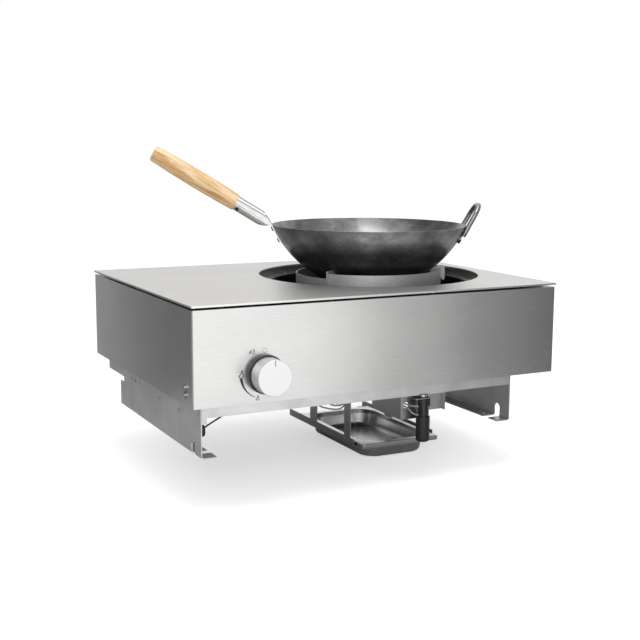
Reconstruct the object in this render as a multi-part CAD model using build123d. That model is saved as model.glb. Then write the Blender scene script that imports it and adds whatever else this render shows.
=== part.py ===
from build123d import *
from functools import cache
from math import asin, cos, pi, radians, sin, sqrt
import os

# A built-in gas wok range: a sheet steel housing with a cooking well in its top plate, a burner,
# a lift-out wok ring and a wok, and below it two mounting brackets, a battery igniter and a drip tray.
# Millimetres. Everything is drawn from the housing's front left bottom corner, with X to the right,
# Y to the back and Z up, and moved to the frame at the very end: the frame's origin is the centre of
# the four mounting bolts on the underside of the brackets.

# ---- fits and gaps
RUN_FIT = 0.03  # radial clearance of what turns or slides in a bore
LOOSE_FIT = 0.5  # clearance round what only passes through
REST_GAP = 0.2  # air under a flat piece that lies on another body
CURVE_GAP = 0.3  # air between the wok and the plates that carry it
PAST = 1.0  # how far a cutting solid runs on past a face
SHY = 0.1  # flat left at the crown of a round as wide as its slot

# ---- housing
HOUSE_W = 690.0
HOUSE_D = 526.0
HOUSE_H = 154.0
SHEET = 1.5
BEND_R = 3.0  # outside radius of the upright corner bends
TOP_LIP = 14.0
BOTTOM_LIP = 8.0
SIDE_SCREWS = ((28.5, 30.3), (31.7, 17.2))  # (y, z) on the left side

# ---- top plate
PLATE_T = 3.0
PLATE_OVERHANG = 2.0
PLATE_CORNER_R = 3.0
PLATE_EDGE_R = 0.8
BUFFER_H = 4.0
BUFFER_R = 5.0
BUFFER_INSET = 5.5  # from the housing's faces to the buffers' centres
BUFFER_COUNT = 4  # along the front, and as many along the back
BUFFER_FIRST = 49.0  # from the housing's left side
BUFFER_LAST = 65.0  # from its right side
BUFFER_ALONG_SIDE = 130.0  # from the front and from the back
PLATE_SCREW_R = 2.0
PLATE_SCREW_HEAD_R = 3.0
PLATE_SCREW_BITE = 1.5  # how far the screws reach into the plate

# ---- burner axis and cooking well
WELL_FROM_RIGHT = 231.5  # from the housing's right side to the burner's axis
WELL_BEHIND_MIDDLE = 8.2  # from the middle of the housing's depth back to the burner's axis
WELL_R = 188.0  # outside of the well's wall
LEDGE_W = 19.6  # width of the ledge that shows inside the plate's hole
WELL_RING_OVERLAP = 4.0  # how far the ledge ring reaches out past the plate's hole
LEDGE_DROP = 15.0  # from the plate's top down to the ledge
SHELF_Z = 88.0  # the flat shelf that carries the wok ring
SHELF_LAND = 9.5  # how far the flat shelf reaches in under the wok ring
FUNNEL_R = 60.0
FUNNEL_DROP = 18.0
SPOUT_H = 14.0
BEAD_W = 3.0
BEAD_H = 3.0
LEDGE_SCREW_TURN = 117.0
LEDGE_SCREW_COUNT = 4

# ---- small screws
SCREW_R = 2.0
SCREW_HEAD_R = 4.0
SCREW_HEAD_H = 1.8
SMALL_SCREW_R = 1.5
SMALL_HEAD_R = 2.4
SMALL_HEAD_H = 1.0
WASHER_R = 6.0
WASHER_T = 1.2

# ---- brackets under the housing
BRACKET_T = 2.0
BRACKET_DROP = 84.0
BRACKET_FLANGE = 26.6
BRACKET_BEND_R = 4.5
LEFT_INSET = 17.0  # from the housing's left side to the left bracket's outer face
RIGHT_INSET = 84.0
BRACKET_FRONT = 11.0
BRACKET_UPPER_BACK = 409.0
BRACKET_BACK = 431.0
BRACKET_STEP_DROP = 37.0
SLOT_AT = 46.0
SLOT_W = 16.0
SLOT_H = 24.0
BOLT_R = 3.3
BOLT_INSET = 16.0  # from a bracket's outer face to its bolt holes
BOLT_FRONT = 66.0
BOLT_SPACING_Y = 300.0
BRACKET_SCREWS = ((16.0, -10.0), (109.0, -25.0), (206.0, -25.0), (314.0, -20.0), (341.0, -21.0), (362.0, -20.0))
BOOT_R = 10.3
BOOT_T = 6.0
BOOT_EDGE_R = 1.5
BOOT_Y = 21.0
BOOT_Z = -39.0

# ---- sub-frame and the cover of its wiring channel
SUB_FRONT = 10.0
SUB_BACK_INSET = 16.0  # from the housing's back to the sub-frame's
SUB_DROP = 18.0  # height of the front strip
SUB_SIDE_DROP = 28.0
SUB_LIP = 12.0
SUB_EAR = 8.0
COVER_LEFT = 256.0
COVER_RIGHT = 480.0
COVER_BACK = 75.0
COVER_NOTCH = (467.0, 479.0)
COVER_NOTCH_DEPTH = 3.0
COVER_SLOTS = ((282.0, 304.0, 26.0, 48.0), (392.5, 409.0, 40.0, 56.0))  # x and y limits, for the leads
DRIP_W = 130.0
DRIP_L = 220.0
DRIP_CORNER_R = 5.0

# ---- drip tray and its rails
TRAY_ASIDE = 4.0  # from the burner's axis to the tray's centre line
TRAY_BEHIND = 7.3  # from the burner's axis back to the tray's middle
TRAY_W = 162.0
TRAY_L = 265.0
TRAY_RIM_DROP = 137.0  # from the housing's bottom to the rim's top
TRAY_DEPTH = 32.0
TRAY_SHEET = 0.9
TRAY_RIM = 11.0
TRAY_RIM_R = 5.0
TRAY_CORNER_R = 38.0
TRAY_SHOULDER_H = 9.0
TRAY_SHOULDER = 2.0
TRAY_DRAFT = 4.0
TRAY_FOOT_R = 8.0
TRAY_LIP_H = 8.0
RAIL_GAP = 3.0  # between the tray's rim and a rail's web
RAIL_BEHIND_RIM = 27.0  # from the tray's front edge to the rails' front ends
RAIL_L = 274.0
RAIL_WEB_H = 12.0  # above its flange
RAIL_FLANGE = 11.0
RAIL_CURL_L = 8.0
RAIL_CURL_H = 2.5
RAIL_POSTS = ((14.0, 38.0), (151.0, 180.0))  # front and back edge of each post, from the rail's front
RAIL_FOOT = 12.0
RAIL_STOP_H = 8.0
RAIL_SCREW_BACK = 44.0  # from the rail's front
RAIL_SCREW_UP = 6.0  # above the flange

# ---- tap, knob and bezel
TAP_X = 121.2
TAP_Z = 46.3
KNOB_R = 29.0
KNOB_FACE = 41.0  # from the panel out to the knob's face
KNOB_BACK = 10.0
KNOB_WALL = 3.0
KNOB_HUB_R = 8.0
KNOB_EDGE_R = 0.8
MARK_L = 10.0
MARK_W = 1.2
MARK_DEPTH = 0.4
PUSH = 3.0  # how far the knob goes in
BEZEL_WALL = 1.5
BEZEL_FLOOR = 3.0
BEZEL_GAP = 1.0
STEM_R = 4.0
STEM_FLAT = 1.2
STEM_IN_PLUG = 10.0
COLLAR_R = 7.0
COLLAR_T = 1.5
BONNET_W = 34.0
BONNET_D = 12.5
BONNET_WALL = 2.0
BONNET_BORE_R = 8.0
PLUG_R = 9.0
PLUG_L = 40.0
END_PLAY = 0.2
TAP_W = 40.0
TAP_H = 44.0
TAP_D = 48.0
SPRING_R = 5.6
SPRING_WIRE = 0.4  # wire radius
SPRING_TURNS = 4
SWITCH_W = 20.0
SWITCH_D = 14.0
SWITCH_H = 10.0
SWITCH_BACK = 10.0  # from the tap's front face to the switch

# ---- gas pipes, injector and burner
PIPE_R = 6.5
PIPE_BORE_R = 5.0
PIPE_DROP = 12.0  # the supply pipe's axis below the tap's
INLET_HEX_R = 13.0
INLET_BODY_L = 24.0
INLET_R = 10.48  # G 1/2 outside thread
INLET_COLLAR_R = 12.5  # fills the hole in the rear panel
INLET_L = 22.0
BURNER_PIPE_R = 4.0
BURNER_PIPE_BEND = 25.0
MIX_Z = 34.0
MIX_R = 15.0
MIX_WALL = 1.5
BELL_R = 22.0
BELL_L = 16.0
BELL_OUT = 14.5  # from the well's wall out to the bell's mouth
INJECTOR_OUT = 26.0  # from the bell's mouth to the injector's bracket
INJECTOR_R = 7.0
INJECTOR_NECK_R = 5.0
INJECTOR_TAIL = 6.0
INJECTOR_BODY = 12.0
INJECTOR_TIP = 7.0
INJECTOR_TIP_R = 3.0
INJECTOR_STAND_W = 36.0
INJECTOR_STAND_H = 50.0
INJECTOR_STAND_FOOT = 15.0
SUPPORT_TOP = 15.0
SUPPORT_T = 2.0
SUPPORT_SPAN = 200.0
SUPPORT_W = 44.0
SUPPORT_FOOT = 14.0
NECK_R = 26.0
NECK_WALL = 6.0
NECK_FLOOR = 4.0
NECK_TOP = 86.0
SOCKET_R = 18.0
SOCKET_L = 14.0
LUG_Z = 50.0
LUG_T = 4.0
LUG_W = 12.0
HEAD_R = 75.0
HEAD_BOTTOM = 78.0
HEAD_TOP = 106.0
HEAD_WALL = 4.0
HEAD_ROOF = 3.0
HEAD_BAND_H = 12.0  # height of the outer band that holds the ports
HEAD_STEP = 1.0  # from the neck's top to where the head's inside widens
HUB_R = 32.0
PORT_R = 1.5
PORT_COUNT = 36
CAP_R = 36.0
CAP_H = 5.0
CAP_SEAT_R = 30.0  # mouth of the head, which the cap closes
PROBE_R = 3.5
PROBE_ROUND = 2.5
PROBE_OUT = 13.0  # from the head's rim out to the electrode and the thermocouple
PROBE_HOLE_R = 6.0
ELECTRODE_TURN = 150.0
PROBE_TURN = 210.0
PROBE_LOW = 46.0
PROBE_TOP = 100.0
PROBE_TIP = 8.0
PROBE_TIP_R = 1.2
TERMINAL_R = 2.0
TERMINAL_H = 6.0
CAPILLARY_R = 1.5
LEAD_LEVEL = 20.0  # height at which the leads leave the well

# ---- igniter and its bracket
IGN_X = 424.0
IGN_Y = 12.0
IGN_NECK_R = 7.5
IGN_NECK_TOP = -18.5
GASKET_R = 8.75
GASKET_T = 1.5
NUT_R = 9.5
NUT_H = 4.1
IGN_R = 9.5
IGN_H = 28.0
IGN_CAP_R = 12.0
IGN_CAP_WALL = 2.0
IGN_CAP_H = 44.5
IGN_CAP_EDGE_R = 5.0
SPIGOT_L = 8.0
BATTERY_R = 7.25
BATTERY_L = 50.0
IGN_PLATE_Y = 31.0
IGN_PLATE_LEFT = 391.0
IGN_PLATE_RIGHT = 475.0
IGN_PLATE_LOW = -65.0
IGN_STEP_LOW = -53.0
IGN_STEP_X = 437.0
IGN_WALL_BACK = 131.0
IGN_RETURN = 10.0
IGN_FLANGE = 15.0
TAB_Z = -24.9
TAB_T = 1.0
TAB_LEFT = 404.0
TAB_RIGHT = 434.5
TAB_FRONT = 2.5
IGN_FLANGE_LEFT = 412.0
LEAD_HOLE_R = 5.5
LEAD_HOLE_X = 401.0
LEAD_HOLE_Z = -40.0
CLIP_W = 3.5
CLIP_D = 5.0
CLIP_TOP = -27.0
CLIP_H = 13.0

# ---- leads
LEAD_R = 1.4
EARTH_HOLE = (78.0, 40.0)
SWITCH_HOLE = (222.0, 36.0)
SPARK_HOLE = (240.0, 40.0)
PASS_R = 4.0
LEAD_CLIPS = (325.0, 370.0)  # x of the clips in the wiring channel
LEAD_CLIP_W = 6.0
LEAD_CLIP_H = 12.0
LEAD_CLIP_Y = (34.0, 56.0)

# ---- wok ring
RING_R = 137.5
RING_T = 2.0
RING_TOP = 163.0
RING_FRONT_TOP = 172.0
FIN_TURNS = (-150.0, -30.0, 90.0)
FIN_T = 3.0
FIN_IN = 19.5  # how far a fin reaches in from the band's outside
FIN_OUT = 7.5  # and how far out
FIN_LAND = 17.3  # flat top of a fin, from its outer edge to the slope that carries the wok
FIN_TOP = 177.5
FIN_LAP = 160.0  # where a fin's slot meets the ring's notch
FIN_LOW = 146.0
FIN_LOBE_LOW = 150.5
FIN_HOOK_W = 2.5
FIN_HOOK_H = 3.5
FIN_CORNER_R = 2.5

# ---- wok
WOK_R = 198.3  # outside of the bowl
WOK_T = 1.5
WOK_DEPTH = 122.3  # from the rim down to the lowest point
HANDLE_TURN = 155.0
HANDLE_RISE = 31.0
JOINT_OUT = 66.8  # where the wood meets the ferrule, from the rim
JOINT_UP = 39.8
FERRULE_R = 14.0
FERRULE_T = 1.5
SCOOP_OUT = 15.8  # where the ferrule's round part ends, from the rim
SCOOP_UP = 26.4
SCOOP_FLOOR = ((28.6, 0.5), (15.0, -2.3), (0.0, -1.0))  # its underside near the bowl, (outward, up) from the rim
TONGUE_W = 26.0
TONGUE_T = 2.0
TONGUE_DROP = 36.6  # below the rim
WOOD_L = 180.0
WOOD_SPIGOT = 35.0
WOOD_JOINT_R = 15.5
WOOD_R = 17.2
WOOD_END_R = 15.0
WOOD_END_L = 2.0  # height of the end's dome
WOOD_EDGE_R = 4.0
RIVET_R = 2.5
RIVET_HEAD_R = 4.5
RIVET_HEAD_H = 2.0
RIVET_BITE = 0.5  # how far the shanks run on into the heads
RIVET_SAG = 0.06  # room for the bowl's curve behind an inner head
HANDLE_RIVETS = ((-4.8, 7.6), (4.8, 7.6), (0.0, 29.1))  # (sideways, below the rim)
LOOP_TURN = -27.0
LOOP_R = 4.5
LOOP_FOOT = (-8.4, 38.0, -18.6)  # (outward, sideways, up) from the rim
LOOP_TOP = (22.3, 33.0, 37.4)
LOOP_BEND = 26.0
LOOP_PAD_R = 9.0
LOOP_PAD_T = 3.0
LOOP_RIVET = (38.0, 26.6)  # (sideways, below the rim)
FERRULE_SCREW_HEAD_R = 3.0
FERRULE_SCREW_BACK = 7.0
FERRULE_SCREW_TURN = 53.0  # round the ferrule, from its underside to the front

# ---- worked out from the sizes above
PLATE_UNDER = HOUSE_H + BUFFER_H
PLATE_TOP = PLATE_UNDER + PLATE_T
BURNER_X = HOUSE_W - WELL_FROM_RIGHT
BURNER_Y = HOUSE_D / 2 + WELL_BEHIND_MIDDLE
HOLE_R = WELL_R + LEDGE_W
LEDGE_Z = PLATE_TOP - LEDGE_DROP
WELL_RING_R = HOLE_R + WELL_RING_OVERLAP
LEDGE_SCREW_AT = (WELL_R + WELL_RING_R) / 2  # radius of the ledge screws' circle
SHELF_IN_R = RING_R - SHELF_LAND
LEFT_WEB = LEFT_INSET
RIGHT_WEB = HOUSE_W - RIGHT_INSET
SUB_LEFT = LEFT_WEB + BRACKET_T
SUB_RIGHT = RIGHT_WEB - BRACKET_T
SUB_BACK = HOUSE_D - SUB_BACK_INSET
LEFT_BOLT = LEFT_WEB + BOLT_INSET
RIGHT_BOLT = RIGHT_WEB - BOLT_INSET
ORIGIN = ((LEFT_BOLT + RIGHT_BOLT) / 2, BOLT_FRONT + BOLT_SPACING_Y / 2, -BRACKET_DROP)
TRAY_X = BURNER_X + TRAY_ASIDE
TRAY_Y = BURNER_Y + TRAY_BEHIND
RAIL_FRONT = TRAY_Y - TRAY_L / 2 + RAIL_BEHIND_RIM
RAIL_WEB_X = TRAY_X - TRAY_W / 2 - RAIL_GAP  # inner face of the left rail's web
RAIL_Z = -TRAY_RIM_DROP - TRAY_LIP_H - REST_GAP  # top of the rails' flanges
FLOOR_Z = 2 * SHEET  # top of the base plate
BONNET_BACK = SHEET + BONNET_D
TAP_BACK = BONNET_BACK + TAP_D
PLUG_FRONT = BONNET_BACK + END_PLAY
SUPPLY_Z = TAP_Z - PIPE_DROP
BELL_X = BURNER_X - WELL_R - BELL_OUT
INJECTOR_X = BELL_X - INJECTOR_OUT  # front face of the injector's bracket
PROBE_AT = HEAD_R + PROBE_OUT
IGN_TOP = TAB_Z - NUT_H
IGN_LOW = IGN_TOP - IGN_H
IGN_CAP_LOW = IGN_LOW - IGN_CAP_H
SOCKET_X = BURNER_X - NECK_R - SOCKET_L
SEAT_X = BURNER_X - NECK_R + NECK_WALL / 2  # where the mixing tube ends, inside the neck's wall
FIN_IN_R = RING_R - FIN_IN
FIN_OUT_R = RING_R + FIN_OUT
WOK_CENTRE_Z = FIN_TOP + sqrt((WOK_R + CURVE_GAP) ** 2 - (FIN_OUT_R - FIN_LAND) ** 2)
WOK_RIM_Z = WOK_CENTRE_Z - WOK_R + WOK_DEPTH
RIM_R = sqrt(WOK_R**2 - (WOK_RIM_Z - WOK_CENTRE_Z) ** 2)
JOINT_R = RIM_R + JOINT_OUT
JOINT_Z = WOK_RIM_Z + JOINT_UP


# ---------------------------------------------------------------- small helpers
def block(x0, x1, y0, y1, z0, z1):
    """Box between six limits."""
    return Pos((x0 + x1) / 2, (y0 + y1) / 2, (z0 + z1) / 2) * Box(x1 - x0, y1 - y0, z1 - z0)


def upright(x, y, z0, z1, radius):
    """Vertical cylinder."""
    return Pos(x, y, (z0 + z1) / 2) * Cylinder(radius, z1 - z0)


def along_x(x0, x1, y, z, radius):
    return Pos((x0 + x1) / 2, y, z) * Rot(0, 90, 0) * Cylinder(radius, x1 - x0)


def along_y(y0, y1, x, z, radius):
    return Pos(x, (y0 + y1) / 2, z) * Rot(90, 0, 0) * Cylinder(radius, y1 - y0)


def turned(*outline):
    """Solid of revolution about Z from a closed outline of (radius, z) points."""
    return revolve(Plane.XZ * Polygon(*outline, align=None), axis=Axis.Z)


def on_burner(part, turn=0.0):
    """Put a part drawn about Z on the burner's axis, turned by an azimuth."""
    return Pos(BURNER_X, BURNER_Y, 0) * Rot(0, 0, turn) * part


def polar(radius, turn):
    """Point at a radius and an azimuth about the burner's axis."""
    return BURNER_X + radius * cos(radians(turn)), BURNER_Y + radius * sin(radians(turn))


def upright_edges(part):
    return part.edges().filter_by(Axis.Z)


def tube(points, radius, bend):
    """Round bar along straight runs joined by arcs of one bend radius, or of one radius a corner."""
    path = FilletPolyline(*points, radius=bend)
    return sweep(Plane(path @ 0, z_dir=path % 0) * Circle(radius), path=path)


def soft_bends(points):
    """The largest easy arc at each corner: 0.45 of its shorter run over the tangent of half the turn."""
    radii = []
    for before, corner, after in zip(points, points[1:], points[2:]):
        run_in = Vector(*corner) - Vector(*before)
        run_out = Vector(*after) - Vector(*corner)
        half_turn = radians(run_in.get_angle(run_out)) / 2
        radii.append(0.45 * min(run_in.length, run_out.length) * cos(half_turn) / sin(half_turn))
    return radii


def cord(name, route, radius):
    """Round flexible piece along a route, with its length and its tightest bend printed."""
    radii = soft_bends(route)
    bar = tube(route, radius, radii)
    length = bar.volume / (pi * radius**2)
    print(f"{name}: {length:.0f} mm long, tightest bend {min(radii):.1f} mm, all {[round(r, 1) for r in radii]}")
    return bar


def save(name, part):
    export_step(Pos(*[-value for value in ORIGIN]) * part, f"parts/{name}.step")


# ---------------------------------------------------------------- housing
def housing_wrap():
    outer = block(0, HOUSE_W, 0, HOUSE_D, 0, HOUSE_H)
    outer = fillet(upright_edges(outer).sort_by(Axis.Y)[:2], BEND_R)
    inner = block(SHEET, HOUSE_W - SHEET, SHEET, HOUSE_D + SHEET, SHEET, HOUSE_H - SHEET)
    inner = fillet(upright_edges(inner).sort_by(Axis.Y)[:2], BEND_R - SHEET)
    top = block(TOP_LIP, HOUSE_W - TOP_LIP, TOP_LIP, HOUSE_D + SHEET, HOUSE_H - 2 * SHEET, HOUSE_H + SHEET)
    bottom = block(BOTTOM_LIP, HOUSE_W - BOTTOM_LIP, BOTTOM_LIP, HOUSE_D + SHEET, -SHEET, 2 * SHEET)
    wrap = outer - inner - top - bottom
    wrap -= along_y(-SHEET, 2 * SHEET, TAP_X, TAP_Z, STEM_R + LOOSE_FIT)
    for y, z in SIDE_SCREWS:
        wrap -= along_x(-SHEET, 2 * SHEET, y, z, SCREW_R)
    return wrap - plate_screws()


def rear_panel():
    wall = block(SHEET, HOUSE_W - SHEET, HOUSE_D - SHEET, HOUSE_D, SHEET, HOUSE_H - SHEET)
    top = block(TOP_LIP, HOUSE_W - TOP_LIP, HOUSE_D - TOP_LIP, HOUSE_D, HOUSE_H - SHEET, HOUSE_H)
    bottom = block(BOTTOM_LIP, HOUSE_W - BOTTOM_LIP, HOUSE_D - BOTTOM_LIP, HOUSE_D, 0, SHEET)
    inlet = along_y(HOUSE_D - 2 * SHEET, HOUSE_D + SHEET, TAP_X, SUPPLY_Z, INLET_COLLAR_R)
    return wall + top + bottom - inlet - plate_screws()


def drip_opening():
    shape = block(
        TRAY_X - DRIP_W / 2, TRAY_X + DRIP_W / 2, TRAY_Y - DRIP_L / 2, TRAY_Y + DRIP_L / 2, -SHEET, FLOOR_Z + SHEET
    )
    return fillet(upright_edges(shape), DRIP_CORNER_R)


def lead_passes():
    """The holes through which the leads leave the housing."""
    passes = Part()
    for x, y in (EARTH_HOLE, SWITCH_HOLE, SPARK_HOLE):
        passes += upright(x, y, -SHEET, FLOOR_Z + SHEET, PASS_R)
    return passes


def base_plate():
    plate = block(SHEET, HOUSE_W - SHEET, SHEET, HOUSE_D - SHEET, SHEET, FLOOR_Z)
    plate = fillet(upright_edges(plate).sort_by(Axis.Y)[:2], BEND_R)
    return plate - drip_opening() - lead_passes() - rail_screws()


def buffer_places():
    """Centres of the rubber buffers, evenly spaced along the front and back and two along each side."""
    pitch = (HOUSE_W - BUFFER_FIRST - BUFFER_LAST) / (BUFFER_COUNT - 1)
    places = []
    for y in (BUFFER_INSET, HOUSE_D - BUFFER_INSET):
        places += [(BUFFER_FIRST + index * pitch, y) for index in range(BUFFER_COUNT)]
    for x in (BUFFER_INSET, HOUSE_W - BUFFER_INSET):
        places += [(x, BUFFER_ALONG_SIDE), (x, HOUSE_D - BUFFER_ALONG_SIDE)]
    return places


def top_plate():
    plate = block(
        -PLATE_OVERHANG,
        HOUSE_W + PLATE_OVERHANG,
        -PLATE_OVERHANG,
        HOUSE_D + PLATE_OVERHANG,
        PLATE_UNDER,
        PLATE_TOP,
    )
    plate = fillet(upright_edges(plate), PLATE_CORNER_R)
    plate = fillet(plate.faces().sort_by(Axis.Z)[-1].edges(), PLATE_EDGE_R)
    plate -= on_burner(Pos(0, 0, PLATE_UNDER) * Cylinder(HOLE_R, 4 * PLATE_T))
    rim = plate.edges().filter_by(GeomType.CIRCLE).filter_by(lambda edge: edge.radius > HOLE_R / 2)
    plate = fillet(rim.sort_by(Axis.Z)[-1], PLATE_EDGE_R)
    return plate - plate_screws()


def plate_buffers():
    ring = Part()
    for x, y in buffer_places():
        ring += upright(x, y, HOUSE_H, PLATE_UNDER, BUFFER_R)
    return ring - plate_screws()


def plate_screws():
    """Screws from below, through the lip and the rubber buffer into the plate."""
    screws = Part()
    for x, y in buffer_places():
        screws += upright(x, y, HOUSE_H - SHEET - SCREW_HEAD_H, HOUSE_H - SHEET, PLATE_SCREW_HEAD_R)
        screws += upright(x, y, HOUSE_H - SHEET, PLATE_UNDER + PLATE_SCREW_BITE, PLATE_SCREW_R)
    return screws


def side_screws():
    screws = Part()
    for y, z in SIDE_SCREWS:
        screws += along_x(-WASHER_T, 0, y, z, WASHER_R)
        head = along_x(-WASHER_T - 2 * SCREW_HEAD_H, -WASHER_T, y, z, SCREW_HEAD_R)
        screws += fillet(head.edges().sort_by(Axis.X)[0], SCREW_HEAD_H)
        screws += along_x(0, SHEET, y, z, SCREW_R)
        screws += along_x(SHEET, SHEET + 2 * SCREW_HEAD_H, y, z, SCREW_HEAD_R)
    return screws


# ---------------------------------------------------------------- cooking well
def well_ring():
    """The bright ledge ring that hangs under the plate's hole."""
    ring = turned(
        (WELL_R, LEDGE_Z - SHEET),
        (WELL_RING_R, LEDGE_Z - SHEET),
        (WELL_RING_R, PLATE_UNDER),
        (WELL_RING_R - SHEET, PLATE_UNDER),
        (WELL_RING_R - SHEET, LEDGE_Z),
        (WELL_R, LEDGE_Z),
    )
    return on_burner(ring) - ledge_screws()


def well_wall():
    """Black wall of the well: it stands on the base plate, and its flange is screwed to the ledge."""
    flange_z = LEDGE_Z - SHEET
    wall_in = WELL_R - SHEET
    wall = turned(
        (wall_in, FLOOR_Z),
        (WELL_R, FLOOR_Z),
        (WELL_R, flange_z - SHEET),
        (WELL_RING_R, flange_z - SHEET),
        (WELL_RING_R, flange_z),
        (wall_in, flange_z),
    )
    wall = on_burner(wall) - ledge_screws()
    outside = BURNER_X - WELL_R - SHEET
    wall -= along_x(outside, BURNER_X - NECK_R, BURNER_Y, MIX_Z, MIX_R + 2 * SHEET)
    for turn in (ELECTRODE_TURN, PROBE_TURN):
        x, y = polar(PROBE_AT, turn)
        wall -= along_x(outside, x, y, LEAD_LEVEL, PASS_R)
    return wall


def well_shelf():
    """Black floor welded into the wall: a shelf and a bead for the ring, and a funnel to the tray."""
    wall_in = WELL_R - SHEET
    funnel_z = SHELF_Z - FUNNEL_DROP
    shelf = turned(
        (wall_in, SHELF_Z),
        (wall_in, SHELF_Z - SHEET),
        (SHELF_IN_R, SHELF_Z - SHEET),
        (FUNNEL_R, funnel_z - SHEET),
        (FUNNEL_R, funnel_z - SPOUT_H),
        (FUNNEL_R - SHEET, funnel_z - SPOUT_H),
        (FUNNEL_R - SHEET, funnel_z),
        (SHELF_IN_R, SHELF_Z),
    )
    bead_in = RING_R + 2 * LOOSE_FIT
    bead = turned(
        (bead_in, SHELF_Z), (bead_in + BEAD_W, SHELF_Z), (bead_in + BEAD_W / 2, SHELF_Z + BEAD_H)
    )
    floor = on_burner(shelf + bead)
    for turn in (ELECTRODE_TURN, PROBE_TURN):
        floor -= upright(*polar(PROBE_AT, turn), LUG_Z + LUG_T, SHELF_Z, PROBE_HOLE_R)
    return floor


def ledge_screws():
    screws = Part()
    for index in range(LEDGE_SCREW_COUNT):
        x, y = polar(LEDGE_SCREW_AT, LEDGE_SCREW_TURN + index * 360 / LEDGE_SCREW_COUNT)
        screws += upright(x, y, LEDGE_Z, LEDGE_Z + SCREW_HEAD_H, SCREW_HEAD_R)
        screws += upright(x, y, LEDGE_Z - 4 * SHEET, LEDGE_Z, SCREW_R)
    return screws


# ---------------------------------------------------------------- brackets and sub-frame
def bracket():
    """The left bracket, with its outer face at x = 0: an open L section, bent at the bottom."""
    foot = -BRACKET_DROP
    side = Polygon(
        (BRACKET_FRONT, 0),
        (BRACKET_FRONT, foot),
        (BRACKET_BACK, foot),
        (BRACKET_BACK, -BRACKET_STEP_DROP),
        (BRACKET_UPPER_BACK, -BRACKET_STEP_DROP),
        (BRACKET_UPPER_BACK, 0),
        align=None,
    )
    body = extrude(Plane.YZ * side, BRACKET_FLANGE)
    bend = body.edges().filter_by(Axis.Y).sort_by(Axis.Z)[:2].sort_by(Axis.X)[0]
    body = fillet(bend, BRACKET_BEND_R)
    hollow = block(BRACKET_T, BRACKET_FLANGE + PAST, 0, BRACKET_BACK + PAST, foot + BRACKET_T, PAST)
    bend = hollow.edges().filter_by(Axis.Y).sort_by(Axis.Z)[:2].sort_by(Axis.X)[0]
    body -= fillet(bend, BRACKET_BEND_R - BRACKET_T)
    slot_y = SLOT_AT - SLOT_W / 2, SLOT_AT + SLOT_W / 2
    slot = block(-PAST, BRACKET_FLANGE + PAST, *slot_y, foot - PAST, foot + SLOT_H)
    body -= fillet(slot.edges().filter_by(Axis.X).sort_by(Axis.Z)[2:], SLOT_W / 2 - SHY)
    for y in (BOLT_FRONT, BOLT_FRONT + BOLT_SPACING_Y):
        body -= upright(BOLT_INSET, y, foot - PAST, foot + BRACKET_T + PAST, BOLT_R)
    for y, z in BRACKET_SCREWS:
        body -= along_x(-PAST, BRACKET_T + PAST, y, z, SMALL_SCREW_R)
    return body


def bracket_left():
    return Pos(LEFT_WEB, 0, 0) * bracket()


def bracket_right():
    return mirror(Pos(HOUSE_W - RIGHT_WEB, 0, 0) * bracket(), about=Plane.YZ.offset(HOUSE_W / 2))


def bracket_screws():
    """Small screws through the brackets' webs and the sub-frame's sides."""
    screws = Part()
    reach = BRACKET_T + SHEET
    for y, z in BRACKET_SCREWS:
        for web, outward in ((LEFT_WEB, -1), (RIGHT_WEB, 1)):
            head = sorted((web, web + outward * SMALL_HEAD_H))
            shank = sorted((web, web - outward * reach))
            screws += along_x(*head, y, z, SMALL_HEAD_R)
            screws += along_x(*shank, y, z, SMALL_SCREW_R)
    return screws


def earth_boot():
    boot = along_x(SUB_LEFT, SUB_LEFT + BOOT_T, BOOT_Y, BOOT_Z, BOOT_R)
    return fillet(boot.edges().sort_by(Axis.X)[-1], BOOT_EDGE_R)


def sub_frame():
    """Inverted folded tray under the base plate; its front is the strip between the brackets."""
    floor = block(SUB_LEFT, SUB_RIGHT, SUB_FRONT, SUB_BACK, 0, SHEET)
    front = block(SUB_LEFT, SUB_RIGHT, SUB_FRONT, SUB_FRONT + SHEET, -SUB_DROP, SHEET)
    lip = block(SUB_LEFT, SUB_RIGHT, SUB_FRONT, SUB_FRONT + SUB_LIP, -SUB_DROP, SHEET - SUB_DROP)
    back = block(SUB_LEFT, SUB_RIGHT, SUB_BACK - SHEET, SUB_BACK, -SUB_DROP, SHEET)
    left = block(SUB_LEFT, SUB_LEFT + SHEET, SUB_FRONT, SUB_BACK, -SUB_SIDE_DROP, SHEET)
    right = block(SUB_RIGHT - SHEET, SUB_RIGHT, SUB_FRONT, SUB_BACK, -SUB_SIDE_DROP, SHEET)
    ear = block(SUB_LEFT, SUB_LEFT + SUB_EAR, SUB_FRONT, SUB_FRONT + SHEET, -SUB_SIDE_DROP, 0)
    frame = floor + front + lip + back + left + right + ear
    frame -= drip_opening() + lead_passes()
    return frame - bracket_screws() - rail_screws()


def wiring_cover():
    low = -SUB_DROP - SHEET
    cover = block(COVER_LEFT, COVER_RIGHT, SUB_FRONT, COVER_BACK, low, -SUB_DROP)
    cover += block(COVER_LEFT, COVER_RIGHT, COVER_BACK - SHEET, COVER_BACK, low, 0)
    cover -= block(*COVER_NOTCH, SUB_FRONT - PAST, SUB_FRONT + COVER_NOTCH_DEPTH, low - PAST, 0)
    notch = IGN_NECK_R + 2 * LOOSE_FIT
    cover -= block(IGN_X - notch, IGN_X + notch, SUB_FRONT - PAST, IGN_Y + notch, low - PAST, 0)
    for limits in COVER_SLOTS:
        cover -= block(*limits, low - PAST, PAST - SUB_DROP)
    return cover


# ---------------------------------------------------------------- tray rails and drip tray
def both_sides(part):
    """A part at the tray's left and its mirror image at the right."""
    return part + mirror(part, about=Plane.YZ.offset(TRAY_X))


def rail_posts():
    return [(RAIL_FRONT + front, RAIL_FRONT + back) for front, back in RAIL_POSTS]


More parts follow.
